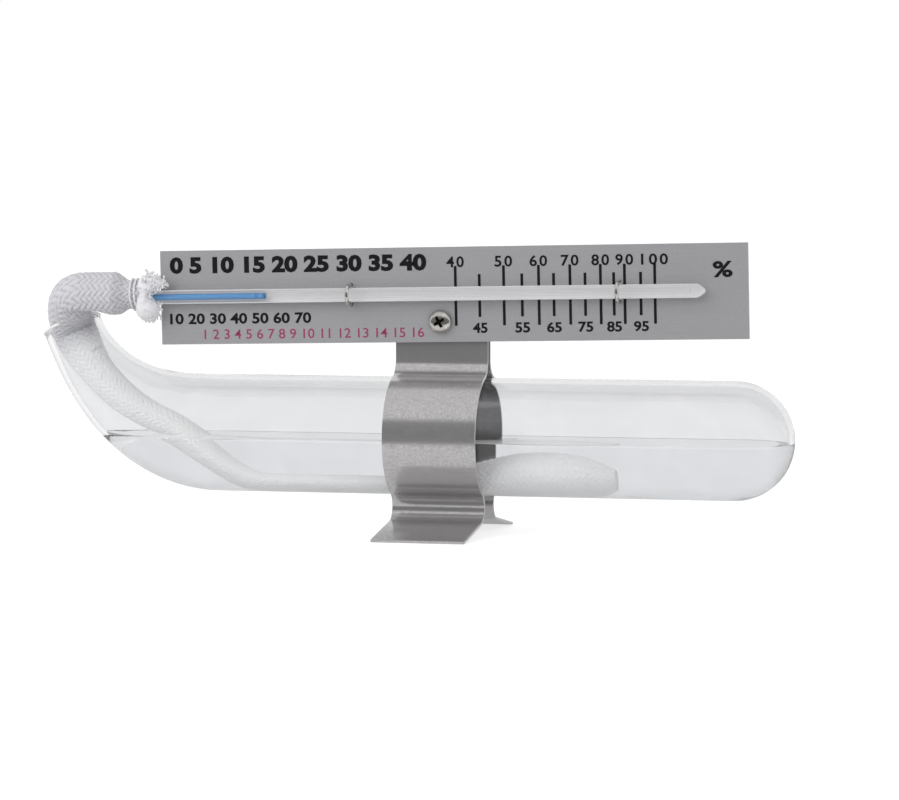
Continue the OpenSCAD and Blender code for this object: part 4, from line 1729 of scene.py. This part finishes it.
def braid_tree() -> GeoTree:
    """Raises a tubular braid, two over and two under, on a swept surface.

    Returns:
        The tree: Strands, Pitch, Depth and Under in. It reads turn, run and outward and stores weave.
    """
    tree = GeoTree("braid")
    strands, pitch = tree.size("Strands", 16.0), tree.size("Pitch", 1.4)
    depth, under = tree.size("Depth", 0.3), tree.size("Under", 0.4)
    around = tree.math("MULTIPLY", tree.attribute("turn"), strands)
    along = tree.math("DIVIDE", tree.attribute("run"), pitch)
    wander = tree.node("ShaderNodeTexNoise", {"Scale": 420.0, "Detail": 1.0}).outputs[0]
    shift = tree.math("MULTIPLY", tree.math("SUBTRACT", wander, 0.5), 0.55)
    p = tree.math("ADD", tree.math("ADD", around, along), shift)
    q = tree.math("ADD", tree.math("SUBTRACT", around, along), shift)
    heights = []
    for own, other, sign in ((p, q, 1.0), (q, p, -1.0)):
        number = tree.math("FLOOR", own)
        across = tree.math("MULTIPLY", tree.math("SUBTRACT", own, number), 2.0)
        across = tree.math("SUBTRACT", across, 1.0)
        fall = tree.math("MULTIPLY", tree.math("MULTIPLY", across, across), 0.92)
        crown = tree.math("SQRT", tree.math("MAXIMUM", tree.math("SUBTRACT", 1.0, fall), 0.0))
        phase = tree.math("MULTIPLY", tree.math("ADD", number, other), math.pi / 2)
        wave = tree.math("MULTIPLY", tree.math("SINE", phase), 0.8 * sign)
        flat = tree.math("MINIMUM", tree.math("MAXIMUM", wave, -0.6), 0.6)
        over = tree.math("ADD", 0.5, tree.math("MULTIPLY", flat, 0.833))
        lift = tree.math("ADD", under, tree.math("MULTIPLY", tree.math("SUBTRACT", 1.0, under), over))
        heights.append(tree.math("MULTIPLY", crown, lift))
    height = tree.math("MAXIMUM", *heights)
    lump = tree.node("ShaderNodeTexNoise", {"Scale": 900.0, "Detail": 2.0}).outputs[0]
    lump = tree.math("MULTIPLY", tree.math("SUBTRACT", lump, 0.5), 0.5)
    raised = tree.math("ADD", tree.math("SUBTRACT", height, 1.0), lump)
    moved = tree.shift(tree.attribute("outward", "FLOAT_VECTOR"), tree.math("MULTIPLY", raised, depth))
    wires = {"Geometry": moved, "Name": "weave", "Value": height}
    kept = tree.node("GeometryNodeStoreNamedAttribute", wires, data_type="FLOAT", domain="POINT")
    tree.close(kept.outputs[0])
    return tree


def ply_tree() -> GeoTree:
    """Sweeps a round strand along lines.

    Returns:
        The tree: Radius and Sides in.
    """
    tree = GeoTree("ply")
    radius, sides = tree.size("Radius", 0.1), tree.size("Sides", 8)
    line = tree.node("GeometryNodeMeshToCurve", {"Mesh": tree.given})
    tree.close(tree.sweep(line.outputs[0], sides, radius))
    return tree


def lump_tree() -> GeoTree:
    """Roughens a surface with soft lumps.

    Returns:
        The tree: Depth and Size (mm) in.
    """
    tree = GeoTree("cotton_lumps")
    deep, size = tree.size("Depth", 0.1), tree.size("Size", 1.0)
    wires = {"Scale": tree.math("DIVIDE", 1 / MM, size), "Detail": 3.0}
    lump = tree.node("ShaderNodeTexNoise", wires).outputs[0]
    height = tree.math("MULTIPLY", tree.math("SUBTRACT", lump, 0.5), deep)
    tree.close(tree.shift(tree.node("GeometryNodeInputNormal").outputs[0], height))
    return tree


@dataclass
class Wick:
    """The braided cotton wick from the bulb to its end in the water, and the thread that ties it."""

    made: Finishes
    tube: Reservoir
    sides: int = 128
    start_x: float = -65.0
    end_x: float = -78.05
    middle_z: float = 51.543
    full_r: float = 4.9
    tied_r: float = 3.1
    seat_x: float = -67.75
    taper: float = 3.4
    neck_r: float = 4.8
    inner_r: float = 3.9
    fullness: float = 7.7
    lowest: float = 46.4
    dip: float = 0.75
    dip_from: float = -74.6
    dip_len: float = 3.0
    press: float = 0.5
    joint: float = 63.0
    drop_turn: float = 20.0
    tail_end: float = 38.0
    tail_half: tuple[float, float] = (3.4, 2.2)
    open_half: tuple[float, float] = (6.3, 4.4)
    open_from: float = -8.0
    open_len: float = 30.0
    tail_rest: float = -8.9
    rest_x: float = -36.0
    strands: float = 20.0
    pitch: float = 1.3
    depth: float = 0.42
    under: float = 0.42
    spare: float = 12.5
    thread_r: float = 0.225
    turns: int = 2
    thread_pitch: float = 0.95
    thread_x: float = -65.4
    sleeve_steps: int = 84
    soft_steps: int = 14
    bend_steps: int = 91
    bend_cut: int = 50
    neck_cut: int = 104

    def middle_line(self) -> tuple[np.ndarray, np.ndarray]:
        """Middle of the wick and its half sizes, from the tie to its end.

        Returns:
            Rows of points, and rows of half width and half height.
        """
        n = self.sleeve_steps
        x = np.linspace(self.start_x, self.end_x, n)
        level = np.stack([x, np.full(n, DATUM.stem_y), np.full(n, self.middle_z)], axis=1)
        line = [DATUM.on_plate(level)]
        full = mix(self.full_r, self.tied_r, ease((x - self.seat_x + self.taper) / self.taper))
        half = [np.stack([full, full], axis=1)]
        tilt, turn, lean = (math.radians(v) for v in (DATUM.tilt, self.joint, self.tube.lean))
        out = np.array([-math.cos(tilt), 0, -math.sin(tilt)])
        into = np.array([math.cos(turn), -math.sin(turn) * math.sin(lean), -math.sin(turn) * math.cos(lean)])
        mx, mz = self.tube.middle(self.joint)
        end = self.tube.leant(np.array(mx), np.array(0.0), np.array(mz))
        t = np.linspace(0, 1, self.bend_steps + 1)[1:]
        line.append(hermite(line[0][-1], end, 1.7 * self.fullness * out, 2 * self.fullness * into, t))
        r = mix(self.full_r, self.neck_r, ease(t))
        half.append(np.stack([r, r], axis=1))
        turns = np.linspace(self.joint, self.drop_turn, 120)[1:]
        mids = np.array([self.tube.middle(v) for v in turns])
        last, rest = np.array(self.tube.middle(self.drop_turn)), np.array([self.rest_x, self.tail_rest])
        ways = np.array([[25.0, -9.0], [25.0, 0.0]])
        drop = hermite(last, rest, ways[0], ways[1], np.linspace(0, 1, 110)[1:])
        flat = np.linspace(self.rest_x, self.tail_end, 250)[1:]
        opened = ease((flat - self.open_from) / self.open_len)
        high = self.tail_rest + opened * (self.open_half[1] - self.tail_half[1])
        inside = np.vstack([mids, drop, np.stack([flat, high], axis=1)])
        line.append(self.tube.leant(inside[:, 0], 0.0, inside[:, 1]))
        down = np.linspace(0.57, 1.15, len(drop))
        share = np.concatenate([np.linspace(0, 0.57, len(mids)), down, np.full(len(flat), 1.2)])
        drawn = mix(self.neck_r, self.inner_r, ease(share / 0.2))
        grown = ease(share)
        loose = np.concatenate([np.zeros(len(mids) + len(drop)), opened])
        size = [mix(mix(drawn, self.tail_half[k], grown), self.open_half[k], loose) for k in (0, 1)]
        half.append(np.stack(size, axis=1))
        halves = np.vstack(half)
        tip = np.linspace(0, 1, 60) ** 3
        halves[-60:] *= (1 - 0.6 * tip)[:, None]
        return np.vstack(line), halves

    def flatten(self, rings: list[np.ndarray]) -> None:
        """Flattens the underside of the sleeve and its turn where they lie low over the rim.

        Args:
            rings: The braid's rings, whose points are moved.
        """
        over, soft = self.sleeve_steps + self.soft_steps, self.press
        for i in range(over + self.soft_steps):
            hold = 1.0 if i < over else 1 - ease((i - over) / self.soft_steps)
            z = rings[i][:, 2]
            floor = self.lowest - self.dip * ease((rings[i][:, 0] - self.dip_from) / self.dip_len)
            low = z - floor
            pressed = floor + np.where(low < soft, soft * np.exp(np.minimum(low - soft, 0) / soft), low)
            rings[i][:, 2] = mix(z, pressed, hold)

    def braid(self) -> bpy.types.Object:
        """The whole braid as one closed surface.

        Returns:
            The object, before it is parted.
        """
        line, half = self.middle_line()
        way = unit(np.gradient(line, axis=0))
        side = unit(np.array([0.0, 1.0, 0.0]) - way * way[:, 1:2])
        up = np.cross(side, way)
        run = run_along(line)
        t = np.linspace(0, 2 * math.pi, self.sides, endpoint=False)
        rings, outward = [], []
        for c, s, u, (w, h) in zip(line, side, up, half):
            rings.append(c + np.outer(w * np.cos(t), s) + np.outer(h * np.sin(t), u))
            outward.append(unit(np.outer(np.cos(t) / w, s) + np.outer(np.sin(t) / h, u)))
        self.flatten(rings)
        points, faces = skin(rings)
        obj = mesh_object("wick_braid", points, faces)
        store(obj, "turn", np.concatenate([np.tile(t / (2 * math.pi), len(rings)), [0, 0]]))
        store(obj, "run", np.concatenate([np.repeat(run, self.sides), [run[0], run[-1]]]))
        normal = np.vstack([*outward, -way[0], way[-1]]).astype(np.float32)
        layer = obj.data.attributes.new("outward", "FLOAT_VECTOR", "POINT")
        layer.data.foreach_set("vector", normal.ravel())
        values = {
            "Finish": self.made.wick,
            "Strands": self.strands,
            "Pitch": self.pitch,
            "Depth": self.depth * MM,
            "Under": self.under,
        }
        braid_tree().run(obj, values)
        return face_out(obj)

    def part(
        self, whole: bpy.types.Object, name: str, near: tuple | None, far: tuple | None
    ) -> bpy.types.Object:
        """Cuts a length out of the braid.

        Args:
            whole: The whole braid, which is kept.
            name: The piece's name.
            near: Point, direction and run of the plane where it starts, or None.
            far: Point, direction and run of the plane where it ends, or None.

        Returns:
            The piece.
        """
        bm = bmesh.new()
        bm.from_mesh(whole.data)
        along = bm.verts.layers.float["run"]
        low = near[2] - self.spare if near else -math.inf
        high = far[2] + self.spare if far else math.inf
        away = [v for v in bm.verts if not low <= v[along] <= high]
        bmesh.ops.delete(bm, geom=away, context="VERTS")
        for plane, keep_far in ((near, True), (far, False)):
            if plane is None:
                continue
            cut = bmesh.ops.bisect_plane(
                bm,
                geom=[*bm.verts, *bm.edges, *bm.faces],
                plane_co=plane[0] * MM,
                plane_no=plane[1],
                clear_inner=keep_far,
                clear_outer=not keep_far,
            )
            edges = [e for e in cut["geom_cut"] if isinstance(e, bmesh.types.BMEdge)]
            bmesh.ops.edgeloop_fill(bm, edges=edges)
        bmesh.ops.recalc_face_normals(bm, faces=bm.faces)
        mesh = bpy.data.meshes.new(name)
        bm.to_mesh(mesh)
        bm.free()
        mesh.materials.append(self.made.wick)
        mesh.shade_smooth()
        return link(bpy.data.objects.new(name, mesh))

    def braided(self) -> None:
        """Makes the braid and parts it among the bodies that it joins."""
        whole = self.braid()
        line, _ = self.middle_line()
        run = run_along(line)
        a = self.sleeve_steps - 1
        b, c = a + self.bend_cut, a + self.neck_cut
        first, second, third = line[a], line[b], line[c]
        way_a, way_b = unit(second - first), unit(third - second)
        cut_a, cut_b, cut_c = (first, way_a, run[a]), (second, way_a, run[b]), (third, way_b, run[c])
        sleeve = self.part(whole, "braided_sleeve", None, cut_a)
        bend = self.part(whole, "braided_bend", cut_a, cut_b)
        dip = self.part(whole, "braided_dip", cut_b, cut_c)
        tail = self.part(whole, "braided_tail", cut_c, None)
        bpy.data.objects.remove(whole)
        enlist(sleeve, Body.PLATE, Slot.COTTON, "wick_sleeve")
        enlist_between(bend, (Body.PLATE, Body.CLIP), (first, second), Slot.COTTON, "wick_bend")
        slack = self.neck_r * math.sqrt(1 - float(np.dot(way_a, way_b)) ** 2)
        ends = (second + slack * way_b, third)
        enlist_between(dip, (Body.CLIP, Body.RESERVOIR), ends, Slot.COTTON, "wick_bend")
        enlist(tail, Body.RESERVOIR, Slot.COTTON, "wick_tail")

    def tie(self) -> None:
        """Makes the thread that ties the sleeve on: two turns of two-ply thread."""
        n = self.turns * 90
        a = np.linspace(0, 2 * math.pi * self.turns, n)
        r = self.tied_r + 0.05 + self.thread_r
        x = self.thread_x - self.turns * self.thread_pitch + self.thread_pitch * a / (2 * math.pi)
        out = np.stack([np.zeros(n), np.cos(a), np.sin(a)], axis=1)
        line = np.stack([x, DATUM.stem_y + r * out[:, 1], self.middle_z + r * out[:, 2]], axis=1)
        ply = self.thread_r * 0.52
        points, edges = [], []
        for k in range(2):
            b = (a * r / 0.5 + math.pi * k)[:, None]
            points.append(line + ply * (np.cos(b) * out + np.sin(b) * np.array([1.0, 0, 0])))
            edges += [(k * n + i, k * n + i + 1) for i in range(n - 1)]
        obj = mesh_object("tie_thread", DATUM.on_plate(np.vstack(points)), [], edges=edges)
        ply_tree().run(obj, {"Finish": self.made.tuft, "Radius": ply * 0.98 * MM, "Sides": 8})
        enlist(obj, Body.PLATE, Slot.COTTON, "wick_tie")

    def build(self) -> None:
        """Makes the wick and its tie."""
        self.braided()
        self.tie()


@dataclass
class Frill:
    """The gathered end of the cotton past the tie, open in front of the stem."""

    made: Finishes
    middle_z: float = 51.543
    start_x: float = -65.3
    waist: float = 3.0
    hole_r: float = 1.62
    steps: int = 168
    at: tuple[int, ...] = (0, 40, 75, 95, 120, 145, 170, 190, 215, 240, 262, 285, 305, 330)
    long: tuple[float, ...] = (3.0, 3.1, 3.4, 5.0, 6.0, 4.4, 1.9, 1.8, 2.4, 3.9, 4.3, 3.6, 2.9, 3.0)
    wide: tuple[float, ...] = (3.7, 4.0, 4.1, 4.0, 3.7, 3.2, 2.8, 2.9, 3.7, 5.1, 5.9, 5.7, 4.8, 4.0)
    back: tuple[float, ...] = (0.0, 0.0, 0.1, 0.2, 0.1, 0.0, 0.0, 0.0, 0.2, 0.6, 0.9, 0.8, 0.4, 0.1)
    loose: tuple[float, ...] = (0.3, 0.5, 1.0, 1.2, 1.2, 1.0, 0.2, 0.1, 0.2, 0.35, 0.3, 0.3, 0.3, 0.3)
    even_steps: int = 12
    even_width: float = 4.5

    def evened(self, values: np.ndarray) -> np.ndarray:
        """Evens out values round the ring.

        Args:
            values: The values, one for each angle.

        Returns:
            The evened values.
        """
        n = self.even_steps
        soft = np.exp(-0.5 * (np.arange(-n, n + 1) / self.even_width) ** 2)
        soft /= soft.sum()
        return np.convolve(np.concatenate([values[-n:], values, values[:n]]), soft, "valid")

    def sections(self) -> tuple[np.ndarray, np.ndarray]:
        """Sections of the gathered end all round the stem.

        Returns:
            Distance past the tie and radius, by angle and step, and how freely yarn stands off by angle.
        """
        deg = np.arange(self.steps) * 360 / self.steps
        given = (self.long, self.wide, self.back, self.loose)
        long, wide, back, loose = (np.interp(deg, self.at, v, period=360) for v in given)
        long, wide, back = (self.evened(v) for v in (long, wide, back))
        profile = [
            (0.15 + 0 * long, self.waist - 0.2 + 0 * wide),
            (-back, mix(self.waist, wide, 0.42)),
            (-0.55 * back + 0.10 * long, mix(self.waist, wide, 0.8)),
            (0.35 * long, wide),
            (0.68 * long, 0.97 * wide),
            (0.92 * long, 0.84 * wide),
            (1.00 * long, 0.62 * wide),
            (0.93 * long, 0.42 * wide),
            (0.80 * long, 1.63 + 0 * wide),
        ]
        lines = [smooth_line([(x[k], r[k]) for x, r in profile], 5) for k in range(self.steps)]
        return np.array(lines), loose

    def form(self) -> tuple[np.ndarray, list, np.ndarray]:
        """The surface of the gathered end.

        Returns:
            Points in the plate's own frame, faces, and how freely yarn ends stand off each point.
        """
        grid, loose = self.sections()
        a = np.radians(np.arange(self.steps) * 360 / self.steps)
        fold = 0.02 * np.cos(9 * a + 0.6) + 0.012 * np.cos(17 * a + 1.9)
        s = np.linspace(0, 1, grid.shape[1])
        bite = np.sin(np.clip(s * 1.15, 0, 1) * math.pi)
        rings, fray = [], []
        for i, along in enumerate(s):
            r = np.maximum(grid[:, i, 1] * (1 + fold * bite[i]), self.hole_r)
            x = self.start_x + grid[:, i, 0]
            rings.append(np.stack([x, DATUM.stem_y + r * np.cos(a), self.middle_z + r * np.sin(a)], axis=1))
            grows, ends = ease((along - 0.25) / 0.35), ease((along - 0.86) / 0.08)
            fray.append(loose * (0.15 + 0.85 * grows) * (1 - ends))
        points, faces = skin(rings)
        face_y = DATUM.front - 0.3
        hit = (points[:, 0] > DATUM.left - 0.5) & (points[:, 1] > face_y)
        points[hit, 1] = face_y
        return points, faces, np.concatenate([*fray, [0, 0]])

    def build(self) -> None:
        """Makes the gathered end and the yarn ends that stand off it."""
        points, faces, fray = self.form()
        obj = mesh_object("gathered_end", DATUM.on_plate(points), faces, self.made.tuft)
        store(obj, "fray", fray)
        face_out(obj)
        lump_tree().run(obj, {"Finish": self.made.tuft, "Depth": 0.5 * MM, "Size": 1.5})
        ends = link(bpy.data.objects.new("yarn_ends", obj.data.copy()))
        values = {
            "Finish": self.made.tuft,
            "Density": 2.6e6,
            "Length": 1.15 * MM,
            "Radius": 0.24 * MM,
            "Curl": 0.6,
            "Spread": 0.8,
            "Least": 0.45,
            "Seed": 7,
        }
        yarn_end_tree().run(ends, values)
        enlist(obj, Body.PLATE, Slot.COTTON, "wick_frill")
        enlist(ends, Body.PLATE, Slot.COTTON)


@dataclass(frozen=True)
class Studio:
    """Plain pale floor, white surround and soft light."""

    floor_half: float = 4000.0
    surround: float = 1.0
    ambient: float = 0.70
    floor_tones: tuple[float, float] = (0.42, 0.43)
    floor_glow: tuple[float, float] = (0.36, 0.70)
    aim: Three = (0.0, 0.0, 30.0)

    def world(self) -> None:
        """White to the camera, to mirrors and through glass, and plain light for everything else."""
        world = bpy.data.worlds.new("studio")
        world.use_nodes = True
        nodes = Nodes(world.node_tree)
        nodes.tree.nodes.clear()
        seen = nodes.rays("Is Camera Ray", "Is Glossy Ray", "Is Transmission Ray")
        level = nodes.mapped(seen, To_Min=self.ambient, To_Max=self.surround)
        back = nodes.node("ShaderNodeBackground", {"Color": (1.0, 1.0, 1.0, 1.0), "Strength": level})
        nodes.node("ShaderNodeOutputWorld", {"Surface": back.outputs[0]})
        bpy.context.scene.world = world
        bpy.context.scene.view_settings.view_transform = "Standard"

    def floor(self) -> None:
        """A white floor that keeps a soft shadow."""
        h = self.floor_half
        shade = Shade("white_floor")
        dark, light = ((tone,) * 3 for tone in self.floor_tones)
        shade.feed("Base Color", shade.between(shade.smudge(400.0, 0.5), dark, light))
        shade.plain(Roughness=0.9, Emission_Color=(1.0, 1.0, 1.0, 1.0))
        seen = shade.rays("Is Camera Ray", "Is Transmission Ray")
        shade.feed("Emission Strength", shade.between(seen, *self.floor_glow))
        corners = np.array([(-h, -h, 0), (h, -h, 0), (h, h, 0), (-h, h, 0)])
        obj = mesh_object("floor", corners, [(0, 1, 2, 3)], shade.mat)
        obj.data.shade_flat()

    def card(self, name: str, level: float, half: float, near: tuple, far: tuple) -> None:
        """A plain card that only mirrors see.

        Args:
            name: Its name.
            level: How light it is.
            half: Half its length.
            near: Place of one long edge, y and z.
            far: Place of the other long edge, y and z.
        """
        shade = Shade(name)
        patches = shade.smudge(250.0, 0.5)
        shade.feed("Emission Color", shade.between(patches, (level,) * 3, (0.94 * level,) * 3))
        shade.plain(Base_Color=(0.0, 0.0, 0.0, 1.0), Roughness=1.0)
        shade.plain(Emission_Strength=1.0, Specular_IOR_Level=0.0)
        corners = [(-half, *near), (half, *near), (half, *far), (-half, *far)]
        obj = mesh_object(name, np.array(corners), [(0, 1, 2, 3)], shade.mat)
        obj.data.shade_flat()
        obj.visible_camera = obj.visible_diffuse = obj.visible_transmission = obj.visible_shadow = False

    def lamp(self, name: str, watts: float, spot: Three, size: float) -> None:
        """A soft square lamp that faces the object.

        Args:
            name: Its name.
            watts: Its power.
            spot: Where it hangs.
            size: Its side.
        """
        data = bpy.data.lights.new(name, "AREA")
        data.energy = watts
        data.size = size * MM
        lamp = link(bpy.data.objects.new(name, data))
        lamp.location = Vector(spot) * MM
        way = Vector(self.aim) - Vector(spot)
        lamp.rotation_euler = way.to_track_quat("-Z", "Y").to_euler()
        lamp.visible_camera = lamp.visible_glossy = lamp.visible_transmission = False

    def build(self) -> None:
        """Sets the scene."""
        self.world()
        self.floor()
        self.card("front_card", 0.16, 2500.0, (-700.0, 1.0), (-700.0, 460.0))
        self.card("low_card", 0.13, 2500.0, (-700.0, 1.0), (-112.0, 1.0))
        self.card("overhead_card", 0.80, 1200.0, (-700.0, 470.0), (300.0, 1000.0))
        self.lamp("key", 5.2, (-560.0, -560.0, 460.0), 800.0)
        self.lamp("fill", 0.7, (620.0, -480.0, 260.0), 500.0)


def main() -> None:
    """Builds the scene."""
    logging.basicConfig(level=logging.INFO, format="%(name)s: %(message)s")
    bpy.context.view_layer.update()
    Shot().place()
    made = Finishes.build()
    ScalePlate(made).build()
    Thermometer(made).build()
    Stand(made).build()
    tube = Reservoir(made)
    tube.build()
    Wick(made, tube).build()
    Frill(made).build()
    Studio().build()


if __name__ == "__main__":
    main()
